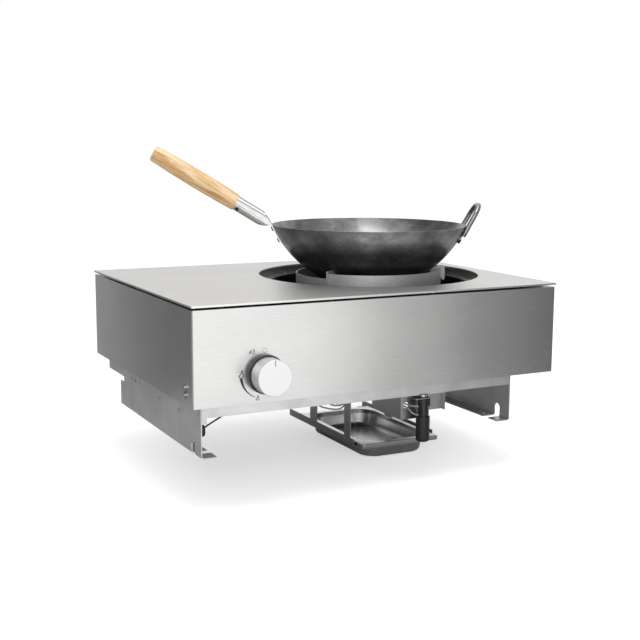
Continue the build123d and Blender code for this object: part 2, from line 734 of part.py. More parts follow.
def rail_left():
    """J section on two posts that hang from the sub-frame, with stops for the tray at both ends."""
    web = RAIL_WEB_X - SHEET, RAIL_WEB_X
    flange_end = RAIL_WEB_X + RAIL_FLANGE
    along = RAIL_FRONT, RAIL_FRONT + RAIL_L
    body = block(*web, *along, RAIL_Z - SHEET, RAIL_Z + RAIL_WEB_H)
    body += block(web[0], flange_end, *along, RAIL_Z - SHEET, RAIL_Z)
    body += block(
        flange_end - SHEET, flange_end, RAIL_FRONT, RAIL_FRONT + RAIL_CURL_L, RAIL_Z, RAIL_Z + RAIL_CURL_H
    )
    stop = TRAY_Y + TRAY_L / 2 + LOOSE_FIT
    body += block(RAIL_WEB_X, flange_end, stop, stop + SHEET, RAIL_Z, RAIL_Z + RAIL_STOP_H)
    for front, back in rail_posts():
        body += block(*web, front, back, RAIL_Z, 0)
        body += block(web[0] - RAIL_FOOT, web[1], front, back, -SHEET, 0)
    return body - rail_screws()


def rail_right():
    return mirror(rail_left(), about=Plane.YZ.offset(TRAY_X))


def rail_screws():
    """Screws up through the rails' feet, and one small screw in each web."""
    web_out = RAIL_WEB_X - SHEET
    screws = Part()
    for front, back in rail_posts():
        x, y = web_out - RAIL_FOOT / 2, (front + back) / 2
        screws += upright(x, y, -SHEET - SCREW_HEAD_H, -SHEET, SCREW_HEAD_R)
        screws += upright(x, y, -SHEET, FLOOR_Z, SCREW_R)
    y, z = RAIL_FRONT + RAIL_SCREW_BACK, RAIL_Z + RAIL_SCREW_UP
    screws += along_x(web_out - SCREW_HEAD_H, web_out, y, z, SMALL_HEAD_R)
    screws += along_x(web_out, RAIL_WEB_X, y, z, SMALL_SCREW_R)
    return both_sides(screws)


def tray_layer(inset, corner_r, z):
    """Rounded rectangle inside the tray's rim, at one height."""
    plane = Plane((TRAY_X, TRAY_Y, z))
    return plane * RectangleRounded(TRAY_W - 2 * inset, TRAY_L - 2 * inset, corner_r)


def tray_body(thickness):
    """The tray's filled shape, taken in by a thickness all round and underneath."""
    rim_z = -TRAY_RIM_DROP
    shoulder_z = rim_z - TRAY_SHOULDER_H
    low_z = rim_z - TRAY_DEPTH + thickness
    inset = TRAY_RIM + thickness
    corner = TRAY_CORNER_R - thickness
    upper = extrude(tray_layer(inset, corner, shoulder_z + thickness), TRAY_SHOULDER_H - thickness)
    lower = loft(
        [
            tray_layer(inset + TRAY_SHOULDER + TRAY_DRAFT, corner - TRAY_SHOULDER - TRAY_DRAFT, low_z),
            tray_layer(inset + TRAY_SHOULDER, corner - TRAY_SHOULDER, shoulder_z + thickness),
        ]
    )
    lower = fillet(lower.faces().sort_by(Axis.Z)[0].edges(), TRAY_FOOT_R - thickness)
    return upper + lower


def drip_tray():
    rim_z = -TRAY_RIM_DROP
    lip = extrude(tray_layer(0, TRAY_RIM_R, rim_z - TRAY_LIP_H), TRAY_LIP_H)
    lip = fillet(lip.faces().sort_by(Axis.Z)[-1].edges(), 2 * TRAY_SHEET)
    under = extrude(
        tray_layer(TRAY_SHEET, TRAY_RIM_R - TRAY_SHEET, rim_z - TRAY_LIP_H), TRAY_LIP_H - TRAY_SHEET
    )
    under = fillet(under.faces().sort_by(Axis.Z)[-1].edges(), TRAY_SHEET)
    mouth = extrude(tray_layer(TRAY_RIM + TRAY_SHEET, TRAY_CORNER_R - TRAY_SHEET, rim_z - SHEET), 2 * SHEET)
    return lip - under + tray_body(0) - tray_body(TRAY_SHEET) - mouth


# ---------------------------------------------------------------- tap, knob and bezel
def bezel():
    """Dark cup round the knob: the knob's skirt goes into it when it is pushed."""
    radius = KNOB_R + BEZEL_GAP + BEZEL_WALL
    cup = along_y(-KNOB_BACK, 0, TAP_X, TAP_Z, radius)
    cup = fillet(cup.edges().sort_by(Axis.Y)[0], BEZEL_WALL / 2)
    cup -= along_y(-KNOB_BACK - PAST, -BEZEL_FLOOR, TAP_X, TAP_Z, KNOB_R + BEZEL_GAP)
    return cup - along_y(-KNOB_BACK, PAST, TAP_X, TAP_Z, STEM_R + LOOSE_FIT)


def flatted(part, fit):
    """Cut the drive flat of the stem, or of the bore that it fits, along the underside."""
    z = TAP_Z - STEM_R + STEM_FLAT - fit
    return part - block(TAP_X - 2 * STEM_R, TAP_X + 2 * STEM_R, -KNOB_FACE, TAP_BACK, z - 2 * STEM_R, z)


def knob():
    body = along_y(-KNOB_FACE, -KNOB_BACK, TAP_X, TAP_Z, KNOB_R)
    body = fillet(body.edges().sort_by(Axis.Y)[0], KNOB_EDGE_R)
    room = along_y(-KNOB_FACE + 2 * KNOB_WALL, 0, TAP_X, TAP_Z, KNOB_R - KNOB_WALL)
    room -= along_y(-KNOB_FACE, 0, TAP_X, TAP_Z, KNOB_HUB_R)
    mark = block(
        TAP_X - MARK_W / 2,
        TAP_X + MARK_W / 2,
        -KNOB_FACE - PAST,
        -KNOB_FACE + MARK_DEPTH,
        TAP_Z + KNOB_R - MARK_L,
        TAP_Z + KNOB_R + PAST,
    )
    return body - room - mark - stem()


def stem():
    """Round stem with a flat, from the knob's hub into the plug, and the collar its spring bears on."""
    tip = PLUG_FRONT + STEM_IN_PLUG
    bar = flatted(along_y(-KNOB_FACE + 2 * KNOB_WALL, tip, TAP_X, TAP_Z, STEM_R), 0)
    collar_y = SHEET + BONNET_WALL + END_PLAY
    return bar + along_y(collar_y, collar_y + COLLAR_T, TAP_X, TAP_Z, COLLAR_R)


def tap_bonnet_room():
    return along_y(SHEET + BONNET_WALL, BONNET_BACK, TAP_X, TAP_Z, BONNET_BORE_R)


def tap_bonnet():
    """Front cap of the tap, between the panel and the tap's body."""
    half = BONNET_W / 2
    cap = block(TAP_X - half, TAP_X + half, SHEET, BONNET_BACK, TAP_Z - half, TAP_Z + half)
    cap = fillet(cap.edges().filter_by(Axis.Y), BEND_R)
    return cap - tap_bonnet_room() - along_y(0, BONNET_BACK, TAP_X, TAP_Z, STEM_R + LOOSE_FIT)


def tap_body():
    half = TAP_W / 2
    body = block(TAP_X - half, TAP_X + half, BONNET_BACK, TAP_BACK, TAP_Z - TAP_H / 2, TAP_Z + TAP_H / 2)
    body = fillet(body.edges().filter_by(Axis.Y), BEND_R)
    return body - along_y(BONNET_BACK - PAST, PLUG_FRONT + PLUG_L + END_PLAY, TAP_X, TAP_Z, PLUG_R)


def tap_plug():
    """The turning plug, bored for the stem with a matching flat."""
    plug = along_y(PLUG_FRONT, PLUG_FRONT + PLUG_L, TAP_X, TAP_Z, PLUG_R - RUN_FIT)
    depth = STEM_IN_PLUG + PUSH + 2 * END_PLAY
    bore = along_y(PLUG_FRONT - PAST, PLUG_FRONT + depth, TAP_X, TAP_Z, STEM_R + RUN_FIT)
    return plug - flatted(bore, RUN_FIT)


def push_spring():
    """Coil between the stem's collar and the plug."""
    start = SHEET + BONNET_WALL + END_PLAY + COLLAR_T + SPRING_WIRE
    length = PLUG_FRONT - SPRING_WIRE - start
    path = Helix(length / SPRING_TURNS, length, SPRING_R)
    coil = sweep(Plane(path @ 0, z_dir=path % 0) * Circle(SPRING_WIRE), path=path)
    return Pos(TAP_X, start, TAP_Z) * Rot(-90, 0, 0) * coil


def microswitch():
    top = TAP_Z + TAP_H / 2
    front = BONNET_BACK + SWITCH_BACK
    return block(TAP_X - SWITCH_W / 2, TAP_X + SWITCH_W / 2, front, front + SWITCH_D, top, top + SWITCH_H)


# ---------------------------------------------------------------- gas pipes and injector
def supply_pipe():
    inlet_front = HOUSE_D - SHEET - INLET_BODY_L
    pipe = along_y(TAP_BACK, inlet_front + INLET_BODY_L / 2, TAP_X, SUPPLY_Z, PIPE_R)
    return pipe - along_y(TAP_BACK, HOUSE_D, TAP_X, SUPPLY_Z, PIPE_BORE_R)


def gas_inlet():
    """Hexagon inside the rear panel, a collar in its hole and an outside-threaded pipe end behind it."""
    inside = HOUSE_D - SHEET
    hexagon = extrude(Plane.XZ * RegularPolygon(INLET_HEX_R, 6), -INLET_BODY_L)
    fitting = Pos(TAP_X, inside - INLET_BODY_L, SUPPLY_Z) * hexagon
    fitting += along_y(inside, HOUSE_D, TAP_X, SUPPLY_Z, INLET_COLLAR_R)
    fitting += along_y(HOUSE_D, HOUSE_D + INLET_L, TAP_X, SUPPLY_Z, INLET_R)
    fitting -= along_y(inside - INLET_BODY_L - PAST, inside - INLET_BODY_L / 2, TAP_X, SUPPLY_Z, PIPE_R)
    return fitting - along_y(0, HOUSE_D + INLET_L + PAST, TAP_X, SUPPLY_Z, PIPE_BORE_R)


def burner_pipe():
    """Pipe from the tap's side to the injector, its long run midway between the two."""
    side = TAP_X + TAP_W / 2
    tail = INJECTOR_X - INJECTOR_TAIL
    run_x = (side + tail) / 2
    y = BONNET_BACK + TAP_D / 2
    route = ((side, y, TAP_Z), (run_x, y, TAP_Z), (run_x, BURNER_Y, MIX_Z), (tail, BURNER_Y, MIX_Z))
    return tube(route, BURNER_PIPE_R, min(BURNER_PIPE_BEND, run_x - side - SHY))


def injector():
    body_x = INJECTOR_X + SHEET
    tip_x = body_x + INJECTOR_BODY
    nozzle = along_x(INJECTOR_X - INJECTOR_TAIL, INJECTOR_X, BURNER_Y, MIX_Z, INJECTOR_R)
    nozzle += along_x(INJECTOR_X, body_x, BURNER_Y, MIX_Z, INJECTOR_NECK_R)
    nozzle += along_x(body_x, tip_x, BURNER_Y, MIX_Z, INJECTOR_R)
    return nozzle + along_x(tip_x, tip_x + INJECTOR_TIP, BURNER_Y, MIX_Z, INJECTOR_TIP_R)


def injector_stand():
    y0, y1 = BURNER_Y - INJECTOR_STAND_W / 2, BURNER_Y + INJECTOR_STAND_W / 2
    stand = block(INJECTOR_X, INJECTOR_X + SHEET, y0, y1, FLOOR_Z, INJECTOR_STAND_H)
    stand += block(INJECTOR_X - INJECTOR_STAND_FOOT, INJECTOR_X, y0, y1, FLOOR_Z, FLOOR_Z + SHEET)
    return stand - along_x(INJECTOR_X, INJECTOR_X + SHEET, BURNER_Y, MIX_Z, INJECTOR_NECK_R)


def mixing_tube():
    """Tube along X with a bell mouth at the injector's end."""
    bore_r = MIX_R - MIX_WALL
    length = SEAT_X - BELL_X
    shell = turned(
        (BELL_R, 0), (MIX_R, BELL_L), (MIX_R, length), (bore_r, length), (bore_r, BELL_L), (BELL_R - MIX_WALL, 0)
    )
    return Pos(BELL_X, BURNER_Y, MIX_Z) * Rot(0, 90, 0) * shell


# ---------------------------------------------------------------- burner
def burner_support():
    """Bridge over the drip opening, standing on the base plate."""
    half = SUPPORT_SPAN / 2
    y0, y1 = BURNER_Y - SUPPORT_W / 2, BURNER_Y + SUPPORT_W / 2
    bridge = block(BURNER_X - half, BURNER_X + half, y0, y1, SUPPORT_TOP - SUPPORT_T, SUPPORT_TOP)
    for side in (-1, 1):
        outer = BURNER_X + side * half
        leg = sorted((outer, outer - side * SUPPORT_T))
        foot = sorted((outer + side * SUPPORT_FOOT, outer - side * SUPPORT_T))
        bridge += block(*leg, y0, y1, FLOOR_Z, SUPPORT_TOP)
        bridge += block(*foot, y0, y1, FLOOR_Z, FLOOR_Z + SUPPORT_T)
    return bridge


def burner_base():
    """Casting: hollow neck, a socket for the mixing tube and two lugs for the probes."""
    base = upright(BURNER_X, BURNER_Y, SUPPORT_TOP, NECK_TOP, NECK_R)
    base += along_x(SOCKET_X, BURNER_X, BURNER_Y, MIX_Z, SOCKET_R)
    for turn in (ELECTRODE_TURN, PROBE_TURN):
        lug = block(NECK_R - NECK_WALL / 2, PROBE_AT + LUG_W / 2, -LUG_W / 2, LUG_W / 2, LUG_Z, LUG_Z + LUG_T)
        base += on_burner(lug, turn)
    base -= upright(BURNER_X, BURNER_Y, SUPPORT_TOP + NECK_FLOOR, NECK_TOP + PAST, NECK_R - NECK_WALL)
    base -= along_x(SOCKET_X, SEAT_X, BURNER_Y, MIX_Z, MIX_R)
    base -= along_x(SEAT_X, BURNER_X, BURNER_Y, MIX_Z, MIX_R - MIX_WALL)
    for turn in (ELECTRODE_TURN, PROBE_TURN):
        base -= upright(*polar(PROBE_AT, turn), LUG_Z, LUG_Z + LUG_T, PROBE_R)
    return base


def burner_head():
    """Hollow mushroom head with a row of ports round its rim."""
    roof = HEAD_TOP - HEAD_ROOF
    cone = HEAD_TOP - HEAD_BAND_H
    head = turned(
        (NECK_R, HEAD_BOTTOM),
        (HUB_R, HEAD_BOTTOM),
        (HUB_R + HEAD_WALL, NECK_TOP - HEAD_STEP),
        (HEAD_R, cone),
        (HEAD_R, HEAD_TOP),
        (CAP_SEAT_R, HEAD_TOP),
        (CAP_SEAT_R, roof),
        (HEAD_R - HEAD_WALL, roof),
        (HEAD_R - HEAD_WALL, cone + HEAD_WALL),
        (HUB_R + HEAD_WALL, NECK_TOP + HEAD_WALL),
        (NECK_R, NECK_TOP + HEAD_STEP),
    )
    port_z = (cone + HEAD_WALL + roof) / 2
    port = along_x(HEAD_R - 2 * HEAD_WALL, HEAD_R + PAST, 0, port_z, PORT_R)
    for index in range(PORT_COUNT):
        head -= Rot(0, 0, index * 360 / PORT_COUNT) * port
    return on_burner(head)


def burner_cap():
    """Brass cap with a plug that closes the head's mouth."""
    low = HEAD_TOP - HEAD_ROOF
    cap = turned(
        (0, low),
        (CAP_SEAT_R, low),
        (CAP_SEAT_R, HEAD_TOP),
        (CAP_R, HEAD_TOP),
        (CAP_R, HEAD_TOP + CAP_H / 2),
        (CAP_SEAT_R, HEAD_TOP + CAP_H),
        (0, HEAD_TOP + CAP_H),
    )
    return on_burner(cap)


def electrode():
    """Ceramic rod with its spark tip above and its terminal below."""
    x, y = polar(PROBE_AT, ELECTRODE_TURN)
    rod = upright(x, y, PROBE_LOW, PROBE_TOP, PROBE_R)
    rod += upright(x, y, PROBE_TOP, PROBE_TOP + PROBE_TIP, PROBE_TIP_R)
    return rod + upright(x, y, PROBE_LOW - TERMINAL_H, PROBE_LOW, TERMINAL_R)


def thermocouple():
    """Probe by the burner's head, and its capillary down to the tap's back."""
    x, y = polar(PROBE_AT, PROBE_TURN)
    probe = upright(x, y, PROBE_LOW, PROBE_TOP, PROBE_R)
    probe = fillet(probe.edges().sort_by(Axis.Z)[-1], PROBE_ROUND)
    end_x, end_z = TAP_X + TAP_W / 2 - 2 * CAPILLARY_R, TAP_Z
    route = (
        (x, y, PROBE_LOW),
        (x, y, LEAD_LEVEL + 1),
        (x - 70, y, LEAD_LEVEL),
        (x - 130, y - 1, LEAD_LEVEL),
        (212, 190, 14),
        (175, 150, 12),
        (150, 110, 18),
        (end_x, TAP_BACK + 22, end_z - 6),
        (end_x, TAP_BACK - 1, end_z),
    )
    return probe + cord("capillary", route, CAPILLARY_R) - tap_body()


# ---------------------------------------------------------------- igniter
def igniter_bracket():
    """Folded plate under the cover: a front with a tab for the igniter, a side wall and a return."""
    top = -SUB_DROP - SHEET
    front, back = IGN_PLATE_Y, IGN_PLATE_Y + SHEET
    plate = block(IGN_PLATE_LEFT, IGN_STEP_X, front, back, IGN_PLATE_LOW, top)
    plate += block(IGN_STEP_X, IGN_PLATE_RIGHT, front, back, IGN_STEP_LOW, top)
    plate += block(IGN_PLATE_LEFT, IGN_PLATE_LEFT + SHEET, front, IGN_WALL_BACK, IGN_PLATE_LOW, top)
    right = IGN_PLATE_RIGHT
    plate += block(right - SHEET, right, front - IGN_RETURN, back, IGN_STEP_LOW, top)
    plate += block(IGN_FLANGE_LEFT, right, front, front + IGN_FLANGE, top - SHEET, top)
    tab = block(TAB_LEFT, TAB_RIGHT, TAB_FRONT, front, TAB_Z, TAB_Z + TAB_T)
    plate += fillet(tab.edges().filter_by(Axis.Z).sort_by(Axis.Y)[:2], BEND_R)
    plate -= upright(IGN_X, IGN_Y, TAB_Z, TAB_Z + TAB_T, IGN_NECK_R)
    return plate - along_y(front, back, LEAD_HOLE_X, LEAD_HOLE_Z, LEAD_HOLE_R)


def igniter_body():
    """Slotted neck, glossy upper body and the spigot that the battery cap turns on."""
    body = upright(IGN_X, IGN_Y, IGN_TOP, IGN_NECK_TOP, IGN_NECK_R)
    body += upright(IGN_X, IGN_Y, IGN_LOW, IGN_TOP, IGN_R)
    spigot_r = IGN_CAP_R - IGN_CAP_WALL - RUN_FIT
    body += upright(IGN_X, IGN_Y, IGN_LOW - SPIGOT_L, IGN_LOW, spigot_r)
    slot = SHEET / 2
    for turn in (0, 90):
        cut = block(-IGN_NECK_R, IGN_NECK_R, -slot, slot, IGN_NECK_TOP - 2 * SHEET, IGN_NECK_TOP)
        body -= Pos(IGN_X, IGN_Y, 0) * Rot(0, 0, turn) * cut
    return body - battery()


def battery():
    low = IGN_CAP_LOW + IGN_CAP_WALL + CURVE_GAP
    return upright(IGN_X, IGN_Y, low, low + BATTERY_L, BATTERY_R)


def igniter_cap():
    """Battery cap with a rounded bottom: it turns on the spigot."""
    top = IGN_LOW - REST_GAP
    cap = upright(IGN_X, IGN_Y, IGN_CAP_LOW, top, IGN_CAP_R)
    cap = fillet(cap.edges().sort_by(Axis.Z)[0], IGN_CAP_EDGE_R)
    room = upright(IGN_X, IGN_Y, IGN_CAP_LOW + IGN_CAP_WALL, top + PAST, IGN_CAP_R - IGN_CAP_WALL)
    return cap - fillet(room.edges().sort_by(Axis.Z)[0], IGN_CAP_EDGE_R - IGN_CAP_WALL)


def igniter_gasket():
    low = TAB_Z + TAB_T
    ring = upright(IGN_X, IGN_Y, low, low + GASKET_T, GASKET_R)
    return ring - upright(IGN_X, IGN_Y, low, low + GASKET_T, IGN_NECK_R)


def igniter_nut():
    ring = upright(IGN_X, IGN_Y, IGN_TOP, TAB_Z, NUT_R)
    return ring - upright(IGN_X, IGN_Y, IGN_TOP, TAB_Z, IGN_NECK_R)


def igniter_clip():
    """Terminal clip on the right of the nut and the upper body."""
    x = IGN_X + IGN_R
    y0, y1 = IGN_Y - CLIP_D / 2, IGN_Y + CLIP_D / 2
    clip = block(x - CLIP_W / 2, x + CLIP_W, y0, y1, CLIP_TOP - CLIP_H, CLIP_TOP)
    return clip - upright(IGN_X, IGN_Y, CLIP_TOP - CLIP_H - PAST, CLIP_TOP + PAST, IGN_R)


# ---------------------------------------------------------------- leads
def earth_lead():
    """Dark red lead from the tap's body down to the boot on the left bracket."""
    x, y = EARTH_HOLE
    route = (
        (TAP_X - TAP_W / 2 + 1, y, TAP_Z - 6),
        (x + 9, y, TAP_Z - 8),
        (x, y, TAP_Z - 26),
        (x, y - 0.5, -3),
        (x - 13, y - 8, -21),
        (x - 28, y - 12, -26.5),
        (x - 42, y - 17, -31),
        (SUB_LEFT + BOOT_T - 1, BOOT_Y, BOOT_Z + 2),
    )
    return cord("earth lead", route, LEAD_R) - tap_body() - earth_boot()


@cache
def switch_lead():
    """Lead from the microswitch to the igniter, dipping below the front strip on its way."""
    x, y = SWITCH_HOLE
    start_y = BONNET_BACK + SWITCH_BACK + SWITCH_D / 2
    start_z = TAP_Z + (TAP_H + SWITCH_H) / 2
    route = (
        (TAP_X + SWITCH_W / 2 - 1, start_y, start_z),
        (TAP_X + 46, start_y + 1, start_z - 1),
        (x - 13, y - 1, start_z - 18),
        (x, y, start_z - 42),
        (x, y, -6),
        (x + 8, y - 6, -23),
        (x + 30, y - 6, -31),
        (x + 54, y - 5, -34.5),
        (x + 70, y + 5, -20),
        (x + 86, y + 12, -9),
        (350, 49, -7),
        (391, 50, -9),
        (401, 51, -24),
        (LEAD_HOLE_X, 44, LEAD_HOLE_Z - 3),
        (LEAD_HOLE_X, 24, LEAD_HOLE_Z - 3),
        (404, 17, -50),
        (IGN_X - IGN_R - 4, IGN_Y + 1.5, -54),
        (IGN_X - IGN_R + 1, IGN_Y, -54.5),
    )
    bar = cord("switch lead", route, LEAD_R)
    return bar - microswitch() - upright(IGN_X, IGN_Y, IGN_LOW, IGN_TOP, IGN_R)


@cache
def spark_lead():
    """Lead from the electrode to the igniter's upper terminal."""
    ex, ey = polar(PROBE_AT, ELECTRODE_TURN)
    x, y = SPARK_HOLE
    route = (
        (ex, ey, PROBE_LOW - TERMINAL_H),
        (ex, ey, LEAD_LEVEL + 1),
        (ex - 70, ey, LEAD_LEVEL),
        (ex - 128, ey - 1, LEAD_LEVEL),
        (x + 2, ey - 45, 11),
        (x + 1, 190, 10),
        (x, 100, 11),
        (x, y, 11),
        (x, y, -8),
        (x + 7, y - 7, -19),
        (x + 20, y - 8, -26.5),
        (x + 38, y - 7, -28),
        (x + 50, y - 6, -17),
        (x + 65, y, -9),
        (350, 41, -7),
        (390, 43, -9),
        (401, 44, -22),
        (LEAD_HOLE_X, 40, LEAD_HOLE_Z + 2),
        (LEAD_HOLE_X, 24, LEAD_HOLE_Z + 2),
        (406, 15, -39),
        (IGN_X - IGN_R + 1, IGN_Y, -39.5),
    )
    return cord("spark lead", route, LEAD_R) - upright(IGN_X, IGN_Y, IGN_LOW, IGN_TOP, IGN_R)


def lead_clips():
    """Saddles that hold the two leads up in the wiring channel."""
    clips = Part()
    for x in LEAD_CLIPS:
        clips += block(x - LEAD_CLIP_W / 2, x + LEAD_CLIP_W / 2, *LEAD_CLIP_Y, -LEAD_CLIP_H, 0)
    return clips - switch_lead() - spark_lead()


# ---------------------------------------------------------------- wok ring
def ring_band():
    """Round band, higher between the two front fins, notched for the fins."""
    low = SHELF_Z + REST_GAP
    band = Cylinder(RING_R, RING_FRONT_TOP - low) - Cylinder(RING_R - RING_T, RING_FRONT_TOP - low)
    band = Pos(0, 0, (RING_FRONT_TOP + low) / 2) * band
    far = 2 * RING_R
    left, right = [(far * cos(radians(turn)), far * sin(radians(turn))) for turn in FIN_TURNS[:2]]
    sector = Polygon((0, 0), left, (left[0], -far), (right[0], -far), right, align=None)
    above = Pos(0, 0, RING_TOP + RING_R) * Cylinder(RING_R + PAST, 2 * RING_R)
    band -= above - extrude(sector, RING_FRONT_TOP + PAST)
    for turn in FIN_TURNS:
        across = RING_R - 2 * RING_T, RING_R + RING_T
        notch = block(*across, -FIN_T / 2, FIN_T / 2, FIN_LAP, RING_FRONT_TOP + PAST)
        band -= Rot(0, 0, turn) * notch
    return on_burner(band)


def ring_fins():
    """Three upright plates lapped into the band; the wok lies on their inner slopes."""
    outline = Polygon(
        (FIN_IN_R, FIN_LOW),
        (RING_R - RING_T, FIN_LOW),
        (RING_R - RING_T, FIN_LAP),
        (RING_R, FIN_LAP),
        (RING_R, FIN_LOBE_LOW + FIN_HOOK_H),
        (RING_R + FIN_HOOK_W, FIN_LOBE_LOW + FIN_HOOK_H),
        (RING_R + FIN_HOOK_W, FIN_LOBE_LOW),
        (FIN_OUT_R, FIN_LOBE_LOW),
        (FIN_OUT_R, FIN_TOP),
        (FIN_IN_R, FIN_TOP),
        align=None,
    )
    fin = Pos(0, FIN_T / 2, 0) * extrude(Plane.XZ * outline, FIN_T)
    outer_corners = fin.edges().filter_by(Axis.Y).sort_by(Axis.X)[-2:]
    fin = fillet(outer_corners, FIN_CORNER_R)
    fin -= Pos(0, 0, WOK_CENTRE_Z) * Sphere(WOK_R + CURVE_GAP)
    fins = Part()
    for turn in FIN_TURNS:
        fins += Rot(0, 0, turn) * fin
    return on_burner(fins) - ring_band()


# ---------------------------------------------------------------- wok
def bowl_radius(z, radius=WOK_R):
    """Radius at a height of a sphere about the bowl's centre."""
    return sqrt(radius**2 - (z - WOK_CENTRE_Z) ** 2)


def skin(inside, outside):
    """Shell between two distances from the bowl's outer face, outwards counted as positive."""
    shell = Sphere(WOK_R + outside) - Sphere(WOK_R + inside)
    return Pos(0, 0, WOK_CENTRE_Z) * shell


def on_bowl(sideways, drop):
    """Place on the bowl's outer face below the rim, with its z axis along the outward normal."""
    z = WOK_RIM_Z - drop
    level = bowl_radius(z)
    point = Vector(sqrt(level**2 - sideways**2), sideways, z)
    return Plane(point, z_dir=point - Vector(0, 0, WOK_CENTRE_Z))


def rivet_shank(stack):
    """Shank through the bowl and a fitting, a little longer than both."""
    length = WOK_T + stack + 2 * RIVET_BITE
    return Pos(0, 0, (stack - WOK_T) / 2) * Cylinder(RIVET_R, length)


def rivet(stack):
    head = Pos(0, 0, RIVET_HEAD_H / 2) * Cylinder(RIVET_HEAD_R, RIVET_HEAD_H)
    head = fillet(head.edges().sort_by(Axis.Z)[-1], RIVET_HEAD_H / 2)
    inner_head = Pos(0, 0, -WOK_T - RIVET_SAG) * Rot(180, 0, 0) * head
    return rivet_shank(stack) + Pos(0, 0, stack) * head + inner_head


def riveted(make):
    """One piece made by a function of the stack's thickness, at each of the wok's five rivets."""
    loop_rivets = (-LOOP_RIVET[0], LOOP_RIVET[1]), LOOP_RIVET
    pieces = Part()
    for sideways, drop in HANDLE_RIVETS:
        pieces += on_burner(on_bowl(sideways, drop) * make(TONGUE_T), HANDLE_TURN)
    for sideways, drop in loop_rivets:
        pieces += on_burner(on_bowl(sideways, drop) * make(LOOP_PAD_T), LOOP_TURN)
    return pieces


def wok_rivets():
    return riveted(rivet)


def wok_bowl():
    inner_r = WOK_R - WOK_T
    angle = asin((WOK_RIM_Z - WOK_CENTRE_Z) / WOK_R)
    middle = (angle - radians(90)) / 2

    def arc(radius):
        half = radius * cos(middle), WOK_CENTRE_Z + radius * sin(middle)
        return ThreePointArc((0, WOK_CENTRE_Z - radius), half, (bowl_radius(WOK_RIM_Z, radius), WOK_RIM_Z))

    outer, inner = arc(WOK_R), arc(inner_r)
    section = make_face(outer + Line(outer @ 1, inner @ 1) + inner + Line(inner @ 0, outer @ 0))
    bowl = revolve(Plane.XZ * section, axis=Axis.Z)
    return on_burner(bowl) - riveted(rivet_shank)


HANDLE = Pos(JOINT_R, 0, JOINT_Z) * Rot(0, 90 - HANDLE_RISE, 0)  # its z axis runs out along the wood


def ferrule_screw_place():
    return HANDLE * Rot(0, 0, FERRULE_SCREW_TURN) * Pos(0, 0, -FERRULE_SCREW_BACK) * Rot(0, 90, 0)


def across_ferrule(outline):
    """A side-view outline drawn out over the ferrule's whole width."""
    return Pos(0, FERRULE_R, 0) * extrude(Plane.XZ * outline, 2 * FERRULE_R)


def below_scoop():
    """All that lies under the ferrule's floor, near the bowl and inside it."""
    start, middle, end = [(RIM_R + out, WOK_RIM_Z + up) for out, up in SCOOP_FLOOR]
    inside, low = RIM_R - 2 * FERRULE_R, WOK_RIM_Z - 2 * FERRULE_R
    edges = Polyline(end, (inside, end[1]), (inside, low), (start[0], low), start)
    return across_ferrule(make_face(ThreePointArc(start, middle, end) + edges))


def ferrule():
    """Steel socket: round at the wood, a floored scoop near the bowl, with a tongue riveted to the bowl."""
    reach = JOINT_R - WOK_R / 2
    middle = HANDLE * Pos(0, 0, -reach / 2)
    core = middle * Cylinder(FERRULE_R, reach)
    under = below_scoop()
    socket = core - middle * Cylinder(FERRULE_R - FERRULE_T, reach) - under
    socket += (Pos(0, 0, FERRULE_T) * under - under) & core
    end_x, end_z = RIM_R + SCOOP_OUT, WOK_RIM_Z + SCOOP_UP
    scoop = Polygon(
        (0, WOK_RIM_Z), (RIM_R, WOK_RIM_Z), (end_x, end_z), (end_x, WOK_CENTRE_Z), (0, WOK_CENTRE_Z), align=None
    )
    socket -= across_ferrule(scoop)
    socket -= Pos(0, 0, WOK_CENTRE_Z) * Sphere(WOK_R)
    half = TONGUE_W / 2
    tongue = skin(0, TONGUE_T) & block(0, WOK_R, -half, half, WOK_RIM_Z - TONGUE_DROP, WOK_RIM_Z)
    body = on_burner(socket + tongue, HANDLE_TURN)
    return body - riveted(rivet_shank) - ferrule_screw()


def ferrule_screw():
    """Screw through the ferrule into the wood."""
    screw = Pos(0, 0, FERRULE_R + SCREW_HEAD_H / 2) * Cylinder(FERRULE_SCREW_HEAD_R, SCREW_HEAD_H)
    screw += Pos(0, 0, FERRULE_R / 2 + SCREW_R) * Cylinder(SCREW_R, FERRULE_R - 2 * SCREW_R)
    return on_burner(ferrule_screw_place() * screw, HANDLE_TURN)


def wood_handle():
    """Turned grip, fullest in the middle, nearly flat at its end, with a spigot in the ferrule."""
    spigot_r = FERRULE_R - FERRULE_T
    belly_z = (WOOD_L - WOOD_END_L) / 2
    end_z = WOOD_L - WOOD_END_L
    side = ThreePointArc((WOOD_JOINT_R, 0), (WOOD_R, belly_z), (WOOD_END_R, end_z))
    dome_r = (WOOD_END_R**2 + WOOD_END_L**2) / (2 * WOOD_END_L)
    half_r = WOOD_END_R / 2
    middle = (half_r, WOOD_L - dome_r + sqrt(dome_r**2 - half_r**2))
    end = ThreePointArc((WOOD_END_R, end_z), middle, (0, WOOD_L))
    rest = Polyline((0, WOOD_L), (0, -WOOD_SPIGOT), (spigot_r, -WOOD_SPIGOT), (spigot_r, 0), (WOOD_JOINT_R, 0))
    section = make_face(side + end + rest)
    grip = revolve(Plane.XZ * section, axis=Axis.Z)
    rings = grip.edges().filter_by(lambda edge: edge.is_closed).sort_by(Axis.Z)
    grip = fillet(rings[-1], WOOD_EDGE_R)
    return on_burner(HANDLE * grip, HANDLE_TURN) - ferrule_screw()


